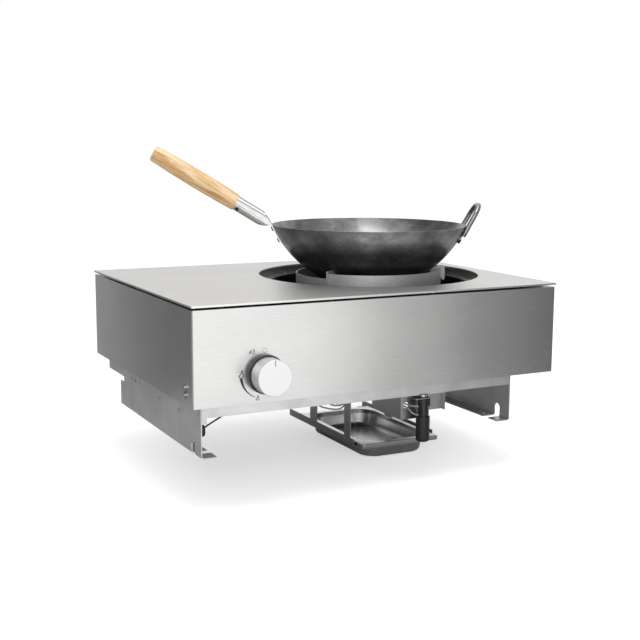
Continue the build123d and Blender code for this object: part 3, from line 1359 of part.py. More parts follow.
def helper_loop():
    """Bent iron bar with two pads riveted to the bowl."""
    foot_out, foot_side, foot_up = LOOP_FOOT
    top_out, top_side, top_up = LOOP_TOP
    route = (
        (RIM_R + foot_out, -foot_side, WOK_RIM_Z + foot_up),
        (RIM_R + top_out, -top_side, WOK_RIM_Z + top_up),
        (RIM_R + top_out, top_side, WOK_RIM_Z + top_up),
        (RIM_R + foot_out, foot_side, WOK_RIM_Z + foot_up),
    )
    loop = tube(route, LOOP_R, LOOP_BEND)
    for sideways in (-LOOP_RIVET[0], LOOP_RIVET[0]):
        pad = on_bowl(sideways, (LOOP_RIVET[1] - foot_up) / 2) * Cylinder(LOOP_PAD_R, 4 * LOOP_PAD_T)
        loop += pad & skin(0, LOOP_PAD_T)
    loop -= Pos(0, 0, WOK_CENTRE_Z) * Sphere(WOK_R)
    return on_burner(loop, LOOP_TURN) - riveted(rivet_shank)


# ---------------------------------------------------------------- nodes
NODES = (
    housing_wrap,
    rear_panel,
    base_plate,
    top_plate,
    plate_buffers,
    plate_screws,
    side_screws,
    well_ring,
    well_wall,
    well_shelf,
    ledge_screws,
    bracket_left,
    bracket_right,
    bracket_screws,
    earth_boot,
    sub_frame,
    wiring_cover,
    rail_left,
    rail_right,
    rail_screws,
    drip_tray,
    bezel,
    knob,
    stem,
    tap_bonnet,
    tap_body,
    tap_plug,
    push_spring,
    microswitch,
    supply_pipe,
    gas_inlet,
    burner_pipe,
    injector,
    injector_stand,
    mixing_tube,
    burner_support,
    burner_base,
    burner_head,
    burner_cap,
    electrode,
    thermocouple,
    igniter_bracket,
    igniter_body,
    igniter_cap,
    igniter_gasket,
    igniter_nut,
    igniter_clip,
    battery,
    earth_lead,
    switch_lead,
    spark_lead,
    lead_clips,
    ring_band,
    ring_fins,
    wok_bowl,
    wok_rivets,
    ferrule,
    ferrule_screw,
    wood_handle,
    helper_loop,
)

os.makedirs("parts", exist_ok=True)
for node in NODES:
    save(node.__name__, node())
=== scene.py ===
import bpy
from math import atan2, cos, hypot, pi, radians, sin
from mathutils import Matrix, Vector

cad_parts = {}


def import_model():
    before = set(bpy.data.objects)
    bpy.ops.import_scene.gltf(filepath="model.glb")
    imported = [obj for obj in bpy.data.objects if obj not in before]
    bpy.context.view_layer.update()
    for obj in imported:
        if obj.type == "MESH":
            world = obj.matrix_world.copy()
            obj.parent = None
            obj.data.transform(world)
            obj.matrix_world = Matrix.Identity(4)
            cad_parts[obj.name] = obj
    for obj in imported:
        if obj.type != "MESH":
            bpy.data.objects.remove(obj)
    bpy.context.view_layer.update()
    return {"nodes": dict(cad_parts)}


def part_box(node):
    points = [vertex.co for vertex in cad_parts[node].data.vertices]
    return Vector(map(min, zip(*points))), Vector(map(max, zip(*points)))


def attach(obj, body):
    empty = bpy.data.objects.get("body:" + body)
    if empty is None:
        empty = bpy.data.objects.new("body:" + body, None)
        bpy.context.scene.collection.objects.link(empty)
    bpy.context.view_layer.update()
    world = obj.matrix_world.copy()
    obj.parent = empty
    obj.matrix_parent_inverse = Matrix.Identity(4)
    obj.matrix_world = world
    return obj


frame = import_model()
node = frame["nodes"]


# ---------------------------------------------------------------- colours and nodes
def colour(code):
    """sRGB hex to linear."""
    parts = [int(code[i:i + 2], 16) / 255 for i in (1, 3, 5)]
    linear = [p / 12.92 if p <= 0.04045 else ((p + 0.055) / 1.055) ** 2.4 for p in parts]
    return linear + [1.0]


def add(tree, kind, links=None, stops=(), **settings):
    """One node: settings are its attributes, links are values or sockets for its inputs, and
    stops are the places and colours of its ramp."""
    made = tree.nodes.new(kind)
    for name, value in settings.items():
        setattr(made, name, value)
    for name, value in (links or {}).items():
        if isinstance(value, bpy.types.NodeSocket):
            tree.links.new(value, made.inputs[name])
        else:
            made.inputs[name].default_value = value
    if stops:
        elements = made.color_ramp.elements
        while len(elements) < len(stops):
            elements.new(0.5)
        for element, (at, code) in zip(elements, stops):
            element.position, element.color = at, colour(code)
    return made


def fresh(name):
    """An empty material: itself, its tree, its Principled shader and object coordinates."""
    made = bpy.data.materials.new(name)
    made.use_nodes = True
    tree = made.node_tree
    place = add(tree, "ShaderNodeTexCoord").outputs["Object"]
    return made, tree, tree.nodes["Principled BSDF"], place


def surface(tree, shader, tone, gloss, relief, metallic=0.0):
    """Tone, gloss and relief go to the shader as patterns; metallic is the same all over."""
    for socket, pattern in (("Base Color", tone), ("Roughness", gloss), ("Normal", relief)):
        tree.links.new(pattern, shader.inputs[socket])
    shader.inputs["Metallic"].default_value = metallic


def per_metre(size_mm, stretch=(1, 1, 1)):
    """Scale of a pattern whose main feature is size_mm, drawn out along an axis by a stretch
    over 1."""
    return [1000 / size_mm / share for share in stretch]


# ---------------------------------------------------------------- finishes
# Sizes of patterns, in mm.
CLOUDS = 110  # broad clouds of ground sheet
PATCHES = 38  # where the wok is worn and where it isn't
DENTS = 13  # the hammer's marks
SPECKLE = 1.8  # bright grains on the wok
GRAIN = 5.5  # from one dark band of the wood to the next
FLECKS = 0.7  # the wood's short rays
MOULDED = 1.2  # unevenness of moulded plastic

# The wood handle's axis, in degrees: its turn from +X, and its rise.
HANDLE_TURN = -155
HANDLE_RISE = 31


def brushed(name, dark, light, rough, grit=0.35, stretch=(90, 1, 1), depth=0.002):
    """Ground sheet: fine straight scratches in tone, gloss and height, and broad faint clouds.
    Real scratches are under 0.1 mm wide: they are drawn wider, so that they show."""
    spread = 0.04
    made, tree, shader, place = fresh(name)
    fine = add(tree, "ShaderNodeMapping", {"Vector": place, "Scale": per_metre(grit, stretch)})
    fine = add(
        tree, "ShaderNodeTexNoise", {"Vector": fine.outputs[0], "Scale": 1.0, "Detail": 3.0}
    )
    broad = add(
        tree, "ShaderNodeMapping", {"Vector": place, "Scale": per_metre(CLOUDS, (2, 1, 1))}
    )
    broad = add(
        tree, "ShaderNodeTexNoise", {"Vector": broad.outputs[0], "Scale": 1.0, "Detail": 2.0}
    )
    scratches = add(
        tree, "ShaderNodeValToRGB", {"Fac": fine.outputs["Fac"]}, [(0.3, dark), (0.7, light)]
    )
    clouds = add(
        tree, "ShaderNodeValToRGB", {"Fac": broad.outputs["Fac"]}, [(0.35, dark), (0.65, light)]
    )
    tone = add(
        tree,
        "ShaderNodeMix",
        {"Factor": 0.3, "A": scratches.outputs["Color"], "B": clouds.outputs["Color"]},
        data_type="RGBA",
    )
    gloss = add(
        tree,
        "ShaderNodeMapRange",
        {"Value": fine.outputs["Fac"], "To Min": rough - spread, "To Max": rough + spread},
    )
    relief = add(
        tree,
        "ShaderNodeBump",
        {"Height": fine.outputs["Fac"], "Distance": depth / 1000, "Strength": 0.5},
    )
    surface(tree, shader, tone.outputs["Result"], gloss.outputs[0], relief.outputs[0], 1.0)
    return made


def mottled(name, dark, light, rough, metallic=1.0, size=8.0, depth=0.01):
    """A surface with no direction: mottling in tone, gloss and height.
    A grain of about a millimetre is drawn coarser than the real one, so that it shows."""
    spread = 0.06
    made, tree, shader, place = fresh(name)
    cloud = add(tree, "ShaderNodeMapping", {"Vector": place, "Scale": per_metre(size)})
    cloud = add(
        tree, "ShaderNodeTexNoise", {"Vector": cloud.outputs[0], "Scale": 1.0, "Detail": 5.0}
    )
    tone = add(
        tree, "ShaderNodeValToRGB", {"Fac": cloud.outputs["Fac"]}, [(0.3, dark), (0.7, light)]
    )
    gloss = add(
        tree,
        "ShaderNodeMapRange",
        {"Value": cloud.outputs["Fac"], "To Min": rough + spread, "To Max": rough - spread},
    )
    relief = add(
        tree,
        "ShaderNodeBump",
        {"Height": cloud.outputs["Fac"], "Distance": depth / 1000, "Strength": 0.4},
    )
    surface(tree, shader, tone.outputs["Color"], gloss.outputs[0], relief.outputs[0], metallic)
    return made


def wok_steel():
    """Cloudy grey patches, fine bright speckle, and shallow dents that break the highlights."""
    made, tree, shader, place = fresh("burnished carbon steel, hammered")
    patches = add(
        tree, "ShaderNodeMapping", {"Vector": place, "Scale": per_metre(PATCHES, (1.5, 1.5, 1))}
    )
    patches = add(
        tree, "ShaderNodeTexNoise", {"Vector": patches.outputs[0], "Scale": 1.0, "Detail": 6.0}
    )
    dents = add(
        tree, "ShaderNodeMapping", {"Vector": place, "Scale": per_metre(DENTS, (1, 1, 1.6))}
    )
    dents = add(
        tree, "ShaderNodeTexNoise", {"Vector": dents.outputs[0], "Scale": 1.0, "Detail": 3.0}
    )
    fine = add(tree, "ShaderNodeMapping", {"Vector": place, "Scale": per_metre(SPECKLE)})
    fine = add(
        tree, "ShaderNodeTexNoise", {"Vector": fine.outputs[0], "Scale": 1.0, "Detail": 4.0}
    )
    worn = add(
        tree,
        "ShaderNodeValToRGB",
        {"Fac": patches.outputs["Fac"]},
        [(0.34, "#4c4c4e"), (0.5, "#7a7a7c"), (0.64, "#a8a7a9")],
    )
    speckle = add(
        tree,
        "ShaderNodeValToRGB",
        {"Fac": fine.outputs["Fac"]},
        [(0.36, "#5c5b5e"), (0.66, "#aeadb0")],
    )
    tone = add(
        tree,
        "ShaderNodeMix",
        {"Factor": 0.3, "A": worn.outputs["Color"], "B": speckle.outputs["Color"]},
        data_type="RGBA",
    )
    gloss = add(
        tree,
        "ShaderNodeMapRange",
        {"Value": patches.outputs["Fac"], "To Min": 0.44, "To Max": 0.2},
    )
    relief = add(
        tree,
        "ShaderNodeBump",
        {"Height": dents.outputs["Fac"], "Distance": 0.00012, "Strength": 0.5},
    )
    surface(tree, shader, tone.outputs["Result"], gloss.outputs[0], relief.outputs[0], 0.9)
    return made


def oiled_beech():
    """Wavy orange-brown grain along the handle, pale cream between, and short dark flecks."""
    made, tree, shader, place = fresh("oiled beech, turned")
    level = add(
        tree,
        "ShaderNodeMapping",
        {"Vector": place, "Rotation": (0, 0, radians(HANDLE_TURN))},
    )
    along = add(
        tree,
        "ShaderNodeMapping",
        {"Vector": level.outputs[0], "Rotation": (0, radians(HANDLE_RISE), 0)},
    )
    grain = add(
        tree,
        "ShaderNodeMapping",
        {"Vector": along.outputs[0], "Scale": per_metre(GRAIN, (11, 1, 1))},
    )
    grain = add(
        tree,
        "ShaderNodeTexNoise",
        {"Vector": grain.outputs[0], "Scale": 1.0, "Detail": 4.0, "Distortion": 0.6},
    )
    flecks = add(
        tree,
        "ShaderNodeMapping",
        {"Vector": along.outputs[0], "Scale": per_metre(FLECKS, (9, 1, 1))},
    )
    flecks = add(
        tree, "ShaderNodeTexNoise", {"Vector": flecks.outputs[0], "Scale": 1.0, "Detail": 2.0}
    )
    bands = add(
        tree,
        "ShaderNodeValToRGB",
        {"Fac": grain.outputs["Fac"]},
        [(0.34, "#cf8f4a"), (0.48, "#ebbf84"), (0.62, "#fbe3ba")],
    )
    dark = add(
        tree,
        "ShaderNodeValToRGB",
        {"Fac": flecks.outputs["Fac"]},
        [(0.34, "#b98046"), (0.5, "#f0d2a2")],
    )
    tone = add(
        tree,
        "ShaderNodeMix",
        {"Factor": 0.25, "A": bands.outputs["Color"], "B": dark.outputs["Color"]},
        data_type="RGBA",
    )
    gloss = add(
        tree,
        "ShaderNodeMapRange",
        {"Value": grain.outputs["Fac"], "To Min": 0.42, "To Max": 0.3},
    )
    relief = add(
        tree,
        "ShaderNodeBump",
        {"Height": flecks.outputs["Fac"], "Distance": 0.00003, "Strength": 0.4},
    )
    surface(tree, shader, tone.outputs["Result"], gloss.outputs[0], relief.outputs[0])
    return made


def necked(body, neck, level):
    """Moulded plastic below a level, bare metal on the threaded neck above it; body and neck
    are each a dark and a light colour."""
    made, tree, shader, place = fresh("glossy ABS under a nickelled neck")
    grain = add(tree, "ShaderNodeMapping", {"Vector": place, "Scale": per_metre(MOULDED)})
    grain = add(
        tree, "ShaderNodeTexNoise", {"Vector": grain.outputs[0], "Scale": 1.0, "Detail": 3.0}
    )
    height = add(tree, "ShaderNodeSeparateXYZ", {0: place})
    above = add(
        tree, "ShaderNodeMath", {0: height.outputs["Z"], 1: level}, operation="GREATER_THAN"
    )
    black, metal = [
        add(
            tree, "ShaderNodeValToRGB", {"Fac": grain.outputs["Fac"]}, [(0.3, dark), (0.7, light)]
        )
        for dark, light in (body, neck)
    ]
    tone = add(
        tree,
        "ShaderNodeMix",
        {"Factor": above.outputs[0], "A": black.outputs["Color"], "B": metal.outputs["Color"]},
        data_type="RGBA",
    )
    gloss = add(
        tree, "ShaderNodeMapRange", {"Value": above.outputs[0], "To Min": 0.12, "To Max": 0.3}
    )
    tree.links.new(tone.outputs["Result"], shader.inputs["Base Color"])
    tree.links.new(above.outputs[0], shader.inputs["Metallic"])
    tree.links.new(gloss.outputs[0], shader.inputs["Roughness"])
    return made


# Ground with a belt along the front: long fine scratches, satin, soft-edged reflections.
front_steel = brushed("ground stainless sheet, housing", "#bcbcbb", "#cececd", 0.28)
# The thick plate, ground finer and then dulled: a soft light grey without sharp reflections.
plate_steel = brushed("satin stainless plate, top", "#cccbc9", "#dad9d7", 0.38, grit=0.3)
# The ledge is the same ground stainless as the plate, its tones darkened as painted shade for the
# plate's shadow: a duller, darker ring with thin light lines.
ledge_steel_painted_shade = brushed(
    "ground stainless, ledge, painted shade", "#6c6b6a", "#a5a4a3", 0.3, grit=0.5, stretch=(14, 14, 1)
)
# Cut and folded from rolled strip: satin with faint handling marks.
part_steel = brushed(
    "rolled stainless, small parts",
    "#9d9c9b",
    "#b5b4b3",
    0.34,
    grit=2.0,
    stretch=(1, 1, 1),
    depth=0.004,
)
# Blasted with beads: matt pale grey, no direction.
ring_steel = mottled(
    "bead blasted stainless, wok ring", "#b4b4b5", "#c6c6c7", 0.5, metallic=0.75, size=3
)
# Deep drawn: brighter, with broad soft clouds from the press.
tray_steel = mottled("deep drawn stainless, tray", "#bcbbba", "#d2d1d0", 0.24, size=30)
# Zinc from the bath: grey, cloudy, half matt.
zinc = mottled("galvanised sheet", "#97989a", "#b6b7b8", 0.45, metallic=0.85, size=9)
# Cold rolled and left so: an even satin light grey.
satin_sheet = mottled(
    "cold rolled stainless sheet", "#c4c4c4", "#d6d6d6", 0.4, metallic=0.9, size=45, depth=0.004
)
# Plated screws: small and bright with a faint mottle.
screw_zinc = mottled("zinc plated screws", "#9a9a99", "#bdbdbb", 0.28)
# Machined brass of the tap and the burner's cap: warm, satin.
brass = mottled("turned brass", "#a8834a", "#c09b5c", 0.3)
# Drawn pipe, handled and slightly darkened.
copper = mottled("drawn copper", "#9a5f42", "#b37455", 0.32)
# As it comes from the sand: nearly black, rough and pitted.
cast = mottled("raw cast iron", "#1d1c1b", "#302e2d", 0.7, metallic=0.6, size=1.5, depth=0.15)
# Near-black for the well's wall and shelf: painted shade of the deep recess, with an uneven sheen.
painted_well_shade = mottled(
    "near-black, painted shade of the well", "#08080a", "#141416", 0.3, metallic=0.0, size=6.0, depth=0.03
)
# Polished tube: long clear reflections.
polished = mottled("polished steel, ferrule", "#bebebd", "#d2d2d1", 0.16, size=12, depth=0.003)
# Oxidised by heat and oil: dark brown-black.
blackened = mottled(
    "blackened rivets and screw", "#24211f", "#3a3633", 0.45, metallic=0.8, size=2
)
# The knob's cast shell: fine blasted neutral grey.
knob_grey = mottled(
    "bead blasted knob", "#cfcfd0", "#dededf", 0.34, metallic=0.85, size=1.0, depth=0.004
)
# Dark chrome round the knob: a dim, smooth ring.
bezel_dark = mottled("dark chrome bezel", "#39393a", "#4a4a4b", 0.28)
# Soft rubber: dull black.
rubber = mottled("moulded rubber", "#0e0e0e", "#1a1a1a", 0.7, metallic=0.0, size=0.8, depth=0.02)
# Glass-filled nylon: black, half matt, slightly grainy.
matt_black = mottled(
    "glass filled nylon", "#0b0b0b", "#171717", 0.36, metallic=0.0, size=0.8, depth=0.02
)
# Sleeves of the leads, extruded: soft, with a little dust.
red_sleeve = mottled(
    "dark red silicone sleeve", "#3a0d10", "#501a1d", 0.5, metallic=0.0, size=1.2, depth=0.02
)
pale_sleeve = mottled(
    "off-white silicone sleeve", "#8b8884", "#aeaba6", 0.5, metallic=0.0, size=1.2, depth=0.02
)
# Glazed rod of the electrode: clean, off-white and shiny.
ceramic = mottled(
    "glazed ceramic", "#d4d0c4", "#e8e4da", 0.15, metallic=0.0, size=2.0, depth=0.004
)
# Print on the front: thin, half matt, slightly uneven.
ink = mottled(
    "screen printed ink", "#19191a", "#262627", 0.5, metallic=0.0, size=0.6, depth=0.002
)
grey_ink = mottled(
    "grey screen printed ink", "#6a6b6c", "#7b7c7e", 0.5, metallic=0.0, size=0.6, depth=0.002
)
# Hammered, then burnished and used: clouded dark grey with broken highlights.
iron = wok_steel()
# Turned and oiled: warm, half matt, its grain along the handle.
beech = oiled_beech()
# Moulded body of the igniter, very glossy and black, with its plated neck bright above it.
NECK_LEVEL = 0.0588  # the underside of the igniter's tab
gloss_black = necked(("#050505", "#0b0b0b"), ("#a4a4a4", "#c6c6c5"), NECK_LEVEL)

FINISHES = [
    (front_steel, ["housing_wrap", "rear_panel"]),
    (plate_steel, ["top_plate"]),
    # The ledge ring's darker tones are painted shade.
    (ledge_steel_painted_shade, ["well_ring"]),
    # The well's near-black is painted shade.
    (painted_well_shade, ["well_wall", "well_shelf"]),
    (ring_steel, ["ring_band", "ring_fins"]),
    (satin_sheet, ["bracket_left", "bracket_right", "sub_frame", "wiring_cover"]),
    (part_steel, ["rail_left", "rail_right", "mixing_tube", "burner_support", "igniter_bracket"]),
    (tray_steel, ["drip_tray"]),
    (zinc, ["base_plate", "injector_stand", "battery"]),
    (screw_zinc, ["plate_screws", "side_screws", "ledge_screws", "bracket_screws", "rail_screws"]),
    (brass, ["stem", "tap_bonnet", "tap_body", "tap_plug", "gas_inlet", "injector", "burner_cap"]),
    (copper, ["supply_pipe", "burner_pipe", "thermocouple"]),
    (cast, ["burner_base", "burner_head"]),
    (polished, ["push_spring", "ferrule"]),
    (blackened, ["wok_rivets", "ferrule_screw"]),
    (knob_grey, ["knob"]),
    (bezel_dark, ["bezel"]),
    (rubber, ["plate_buffers", "earth_boot", "igniter_gasket"]),
    (matt_black, ["microswitch", "igniter_nut", "igniter_clip", "igniter_cap", "lead_clips"]),
    (gloss_black, ["igniter_body"]),
    (ceramic, ["electrode"]),
    (red_sleeve, ["earth_lead"]),
    (pale_sleeve, ["switch_lead", "spark_lead"]),
    (iron, ["wok_bowl", "helper_loop"]),
    (beech, ["wood_handle"]),
]
for finish, names in FINISHES:
    for name in names:
        node[name].data.materials.clear()
        node[name].data.materials.append(finish)


# ---------------------------------------------------------------- signs round the knob
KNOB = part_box("knob")
KNOB_X = (KNOB[0].x + KNOB[1].x) / 2
KNOB_Z = (KNOB[0].z + KNOB[1].z) / 2
FRONT_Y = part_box("housing_wrap")[0].y
INK = 0.00006  # thickness of the print

# Places of the signs: mm from the knob's axis, and degrees to the left from straight up.
OFF = (37.5, 0)
SPARK = (44.2, 34)
SPARK_FLAME = (40.2, 29)
LARGE_FLAME = (40.2, 90)
SMALL_FLAME = (40.8, 162)

# How a disc is drawn up to a flame, with lengths in half widths of it.
FLAME_STEPS = ((0.0, 0.2), (0.35, 0.3), (0.75, 0.5))  # lowest level lifted, share of the rise
FLAME_LIFTED = 0.2  # how far up the rise the lifted points lie, by the level squared
FLAME_LEAN = 0.12  # move of each step to the right
FLAME_AXIS = 0.2  # distance to the right of the line on which the flame narrows
FLAME_KEEP = 0.72  # share of the width that each step keeps

# The wedge between the flames.
TAPER_STEPS = 14
TAPER_START, TAPER_END = 97.0, 155.0  # degrees to the left from straight up
TAPER_RADIUS = 40.6  # mm from the knob's axis to its middle, at the wide end
TAPER_WIDTH = 4.8  # mm, at the wide end
TAPER_EDGE = 0.15  # height of the first piece, as a share of the width
TAPER_DRIFT = 0.14  # mm nearer to the axis at each step
TAPER_KEEP = 0.9  # share of the width that each step keeps


def by_the_knob(radius_mm, left_turn):
    """Point on the front at a distance from the knob's axis, turned to the left from straight
    up."""
    r, a = radius_mm / 1000, radians(left_turn)
    return KNOB_X - r * sin(a), FRONT_Y - INK, KNOB_Z + r * cos(a)


def disc(place, radius_mm, corners=40):
    """A flat disc on the front, in edit mode."""
    bpy.ops.object.select_all(action="DESELECT")
    bpy.ops.mesh.primitive_circle_add(
        vertices=corners,
        radius=radius_mm / 1000,
        fill_type="NGON",
        location=place,
        rotation=(pi / 2, 0, 0),
    )
    bpy.ops.object.transform_apply(location=True, rotation=True, scale=True)
    bpy.ops.object.mode_set(mode="EDIT")
    bpy.ops.mesh.select_all(action="SELECT")


def pick_points(test):
    """Select the points of the edited mesh that pass a test of their place."""
    bpy.ops.mesh.select_all(action="DESELECT")
    bpy.ops.object.mode_set(mode="OBJECT")
    for point in bpy.context.object.data.vertices:
        point.select = test(point.co)
    bpy.ops.object.mode_set(mode="EDIT")


def hollow(rim_mm):
    """Leave only a rim of the sign that is being edited."""
    bpy.ops.mesh.select_all(action="SELECT")
    bpy.ops.mesh.inset(thickness=rim_mm / 1000)
    bpy.ops.mesh.delete(type="FACE")


def printed(name, finish):
    """Leave edit mode and give the flat sign its thickness and its ink."""
    bpy.ops.object.mode_set(mode="OBJECT")
    piece = bpy.context.object
    piece.name = name
    solid = piece.modifiers.new("ink", "SOLIDIFY")
    solid.thickness, solid.offset = INK, -1
    bpy.ops.object.modifier_apply(modifier=solid.name)
    piece.data.materials.append(finish)
    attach(piece, "range")


def flame(name, place, finish, width_mm, height_mm, rim_mm):
    """The outline of a flame, drawn up to a leaning tip from a disc."""
    x, y, z = place
    half = width_mm / 2000
    disc(place, width_mm / 2, corners=28)
    rise = height_mm / 1000 - 2 * half
    for level, share in FLAME_STEPS:
        pick_points(lambda co: co.z > z + level * half + rise * FLAME_LIFTED * level * level)
        bpy.ops.transform.translate(value=(half * FLAME_LEAN, 0, rise * share))
        bpy.ops.transform.resize(
            value=(FLAME_KEEP, 1, 1), center_override=(x + half * FLAME_AXIS, y, z)
        )
    hollow(rim_mm)
    printed(name, finish)


def taper_sign():
    """An edge drawn round the knob's axis from the large flame to the small one, and narrowed
    as it goes."""
    sweep = TAPER_END - TAPER_START
    bpy.ops.object.select_all(action="DESELECT")
    place = by_the_knob(TAPER_RADIUS, TAPER_START)
    bpy.ops.mesh.primitive_plane_add(
        size=TAPER_WIDTH / 1000, location=place, rotation=(pi / 2, 0, 0)
    )
    bpy.ops.object.transform_apply(location=True, rotation=True, scale=True)
    bpy.ops.object.mode_set(mode="EDIT")
    bpy.ops.mesh.select_all(action="SELECT")
    bpy.ops.transform.resize(value=(1, 1, TAPER_EDGE), center_override=place)
    pick_points(lambda co: co.z < place[2])
    for index in range(TAPER_STEPS):
        bpy.ops.mesh.extrude_region_move()
        bpy.ops.transform.rotate(
            value=radians(sweep) / TAPER_STEPS,
            orient_axis="Y",
            center_override=(KNOB_X, place[1], KNOB_Z),
        )
        middle = by_the_knob(
            TAPER_RADIUS - TAPER_DRIFT * index,
            TAPER_START + sweep * (index + 1) / TAPER_STEPS,
        )
        bpy.ops.transform.resize(value=(TAPER_KEEP,) * 3, center_override=middle)
    printed("taper_sign", ink)


def dial_signs():
    """A ring for off, a spark with a flame, a large and a small flame, and the wedge."""
    disc(by_the_knob(*OFF), 3.8)
    hollow(0.55)
    printed("off_sign", grey_ink)
    spark = by_the_knob(*SPARK)
    disc(spark, 1.3, corners=6)
    bpy.ops.transform.resize(value=(0.9, 1, 2.9))
    bpy.ops.transform.rotate(value=radians(-32), orient_axis="Y", center_override=spark)
    printed("spark_sign", ink)
    flame("spark_flame_sign", by_the_knob(*SPARK_FLAME), grey_ink, 6.0, 9.0, 1.1)
    flame("large_flame_sign", by_the_knob(*LARGE_FLAME), ink, 8.6, 13.4, 1.3)
    flame("small_flame_sign", by_the_knob(*SMALL_FLAME), ink, 6.0, 8.4, 1.1)
    taper_sign()


dial_signs()


# ---------------------------------------------------------------- the knob's mark
MARK_WIDTH, MARK_DEPTH, MARK_HEIGHT = 0.00116, 0.00034, 0.0094
MARK_SUNK = 0.00023  # from the knob's face to the middle of the mark's depth
MARK_BELOW = 0.0006  # from the knob's top to the mark's


def knob_mark():
    """Dark line filled into the groove at the top of the knob's face."""
    middle = KNOB[1].z - MARK_BELOW - MARK_HEIGHT / 2
    bpy.ops.object.select_all(action="DESELECT")
    bpy.ops.mesh.primitive_cube_add(size=1, location=(KNOB_X, KNOB[0].y + MARK_SUNK, middle))
    piece = bpy.context.object
    piece.scale = (MARK_WIDTH, MARK_DEPTH, MARK_HEIGHT)
    bpy.ops.object.transform_apply(location=True, rotation=True, scale=True)
    piece.name = "knob_mark"
    edge = piece.modifiers.new("edge", "BEVEL")
    edge.width, edge.segments = 0.00008, 2
    bpy.ops.object.modifier_apply(modifier=edge.name)
    piece.data.materials.append(ink)
    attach(piece, "knob")


knob_mark()


# ---------------------------------------------------------------- stage, camera and lights
FLOOR_SIZE = 30
FLOOR_GAP = 0.001  # between the floor and the tray
FLOOR_SEEN, FLOOR_ELSE = "#f2f2f2", "#b8b8b8"  # to the camera, and to all else
FLOOR_GLOW = 0.5  # seen by the camera only

# The view fitted to the photograph's edges.
CAMERA_PLACE = (-0.9064, -1.8164, 0.4959)
CAMERA_TURN, CAMERA_DIP, CAMERA_ROLL = -26.94, 9.06, 0.30  # degrees
CAMERA_LENS, CAMERA_SENSOR = 63.70, 36.0  # mm

PANEL_GLOW = 1.5
PANEL_FOOT = -0.085  # the panels stand on the floor
# What the front reflects, from its left end to its right: bright, then grey in soft bands, then
# dark.
FRONT_TONES = [
    (0.0, "#ffffff"),
    (0.36, "#ffffff"),
    (0.44, "#d6d6d6"),
    (0.49, "#aeaeae"),
    (0.54, "#bcbcbc"),
    (0.61, "#7e7e7e"),
    (0.66, "#8e8e8e"),
    (0.73, "#5c5c5c"),
    (1.0, "#545454"),
]
# What the left side reflects: dark for its front corner, lighter for its back.
SIDE_TONES = [(0.0, "#484848"), (0.45, "#525252"), (1.0, "#989898")]


def turned_share(degrees):
    """Place on the room's ramp of a direction, in degrees from +Y towards +X."""
    return (degrees + 180) / 360


ROOM = [
    (turned_share(-180), "#e0e0e0"),
    (turned_share(-120), "#c4c4c4"),
    (turned_share(-60), "#a0a0a0"),
    (turned_share(-20), "#8c8c8c"),
    (turned_share(5), "#e8e8e8"),
    (turned_share(30), "#ffffff"),
    (turned_share(100), "#bcbcbc"),
    (turned_share(138), "#828282"),
    (turned_share(158), "#f8f8f8"),
]


def stage():
    """A pale floor under the tray: nearly white to the camera, greyer to all else."""
    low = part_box("drip_tray")[0].z
    bpy.ops.object.select_all(action="DESELECT")
    bpy.ops.mesh.primitive_plane_add(size=FLOOR_SIZE, location=(0, 0, low - FLOOR_GAP))
    floor = bpy.context.object
    floor.name = "floor"
    made, tree, shader, _ = fresh("pale floor")
    path = add(tree, "ShaderNodeLightPath")
    tone = add(
        tree,
        "ShaderNodeMix",
        {
            "Factor": path.outputs["Is Camera Ray"],
            "A": colour(FLOOR_ELSE),
            "B": colour(FLOOR_SEEN),
        },
        data_type="RGBA",
    )
    tree.links.new(tone.outputs["Result"], shader.inputs["Base Color"])
    shader.inputs["Roughness"].default_value = 0.9
    glow = add(tree, "ShaderNodeEmission", {"Color": (1, 1, 1, 1), "Strength": FLOOR_GLOW})
    both = add(tree, "ShaderNodeAddShader", {0: shader.outputs[0], 1: glow.outputs[0]})
    mixed = add(
        tree,
        "ShaderNodeMixShader",
        {0: path.outputs["Is Camera Ray"], 1: shader.outputs[0], 2: both.outputs[0]},
    )
    tree.links.new(mixed.outputs[0], tree.nodes["Material Output"].inputs["Surface"])
    floor.data.materials.append(made)


def world():
    """White to the camera; to everything else a pale room, darker in places all round."""
    made = bpy.data.worlds.new("studio")
    bpy.context.scene.world = made
    made.use_nodes = True
    tree = made.node_tree
    way = add(tree, "ShaderNodeTexCoord").outputs["Generated"]
    split = add(tree, "ShaderNodeSeparateXYZ", {0: way})
    turn = add(
        tree, "ShaderNodeMath", {0: split.outputs[0], 1: split.outputs[1]}, operation="ARCTAN2"
    )
    share = add(
        tree, "ShaderNodeMapRange", {"Value": turn.outputs[0], "From Min": -pi, "From Max": pi}
    )
    walls = add(tree, "ShaderNodeValToRGB", {"Fac": share.outputs[0]}, ROOM)
    path = add(tree, "ShaderNodeLightPath")
    pick = add(
        tree,
        "ShaderNodeMix",
        {
            "Factor": path.outputs["Is Camera Ray"],
            "A": walls.outputs["Color"],
            "B": (1, 1, 1, 1),
        },
        data_type="RGBA",
    )
    tree.links.new(pick.outputs["Result"], tree.nodes["Background"].inputs["Color"])


def camera():
    """The photograph's fitted view."""
    lens = bpy.data.cameras.new("camera")
    lens.lens, lens.sensor_width = CAMERA_LENS, CAMERA_SENSOR
    made = bpy.data.objects.new("camera", lens)
    bpy.context.scene.collection.objects.link(made)
    turn = Matrix.Rotation(radians(CAMERA_TURN), 4, "Z")
    dip = Matrix.Rotation(radians(90 - CAMERA_DIP), 4, "X")
    roll = Matrix.Rotation(radians(CAMERA_ROLL), 4, "Z")
    made.matrix_world = Matrix.Translation(CAMERA_PLACE) @ (turn @ dip) @ roll
    bpy.context.scene.camera = made


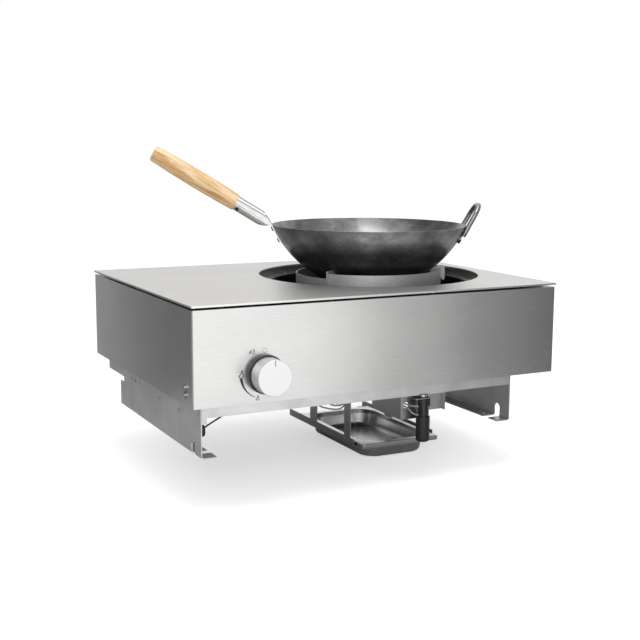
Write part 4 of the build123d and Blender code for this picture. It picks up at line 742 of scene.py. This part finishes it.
def panel(name, start, end, high, stops):
    """A graduated studio panel, seen only in reflections; its tones run from its start to its
    end."""
    middle = [(a + b) / 2 for a, b in zip(start, end)]
    across, along = end[0] - start[0], end[1] - start[1]
    turn, length = atan2(along, across), hypot(across, along)
    bpy.ops.object.select_all(action="DESELECT")
    bpy.ops.mesh.primitive_plane_add(
        size=1, location=(*middle, (PANEL_FOOT + high) / 2), rotation=(pi / 2, 0, turn)
    )
    card = bpy.context.object
    card.scale = (length, high - PANEL_FOOT, 1)
    bpy.ops.object.transform_apply(location=True, rotation=True, scale=True)
    card.name = name
    made, tree, _, place = fresh(name)
    split = add(tree, "ShaderNodeSeparateXYZ", {0: place})
    share = add(
        tree,
        "ShaderNodeMapRange",
        {"Value": split.outputs["X"], "From Min": start[0], "From Max": end[0]},
    )
    tones = add(tree, "ShaderNodeValToRGB", {"Fac": share.outputs[0]}, stops)
    glow = add(
        tree, "ShaderNodeEmission", {"Color": tones.outputs["Color"], "Strength": PANEL_GLOW}
    )
    tree.links.new(glow.outputs[0], tree.nodes["Material Output"].inputs["Surface"])
    card.data.materials.append(made)
    card.visible_camera = card.visible_diffuse = False
    card.visible_shadow = card.visible_transmission = False


def lamp(name, place, aim, size, power):
    """A soft rectangular lamp of a size in metres and a power in watts, facing a point."""
    light = bpy.data.lights.new(name, "AREA")
    light.shape = "RECTANGLE"
    light.size, light.size_y = size
    light.energy = power
    made = bpy.data.objects.new(name, light)
    bpy.context.scene.collection.objects.link(made)
    made.location = place
    made.rotation_euler = (Vector(aim) - Vector(place)).to_track_quat("-Z", "Y").to_euler()


stage()
world()
camera()
panel("graduated panel, front", (-0.5, -0.6), (1.1, -0.6), 0.9, FRONT_TONES)
panel("graduated panel, back left", (-0.75, 0.55), (-0.36, 0.55), 0.8, SIDE_TONES)
lamp("softbox above", (0.1, -0.2, 2.2), (0, 0, 0.1), (1.8, 1.4), 22)
lamp("softbox front left", (-1.6, -2.2, 1.2), (0, 0, 0.05), (1.2, 1.2), 16)
bpy.context.scene.view_settings.view_transform = "Standard"
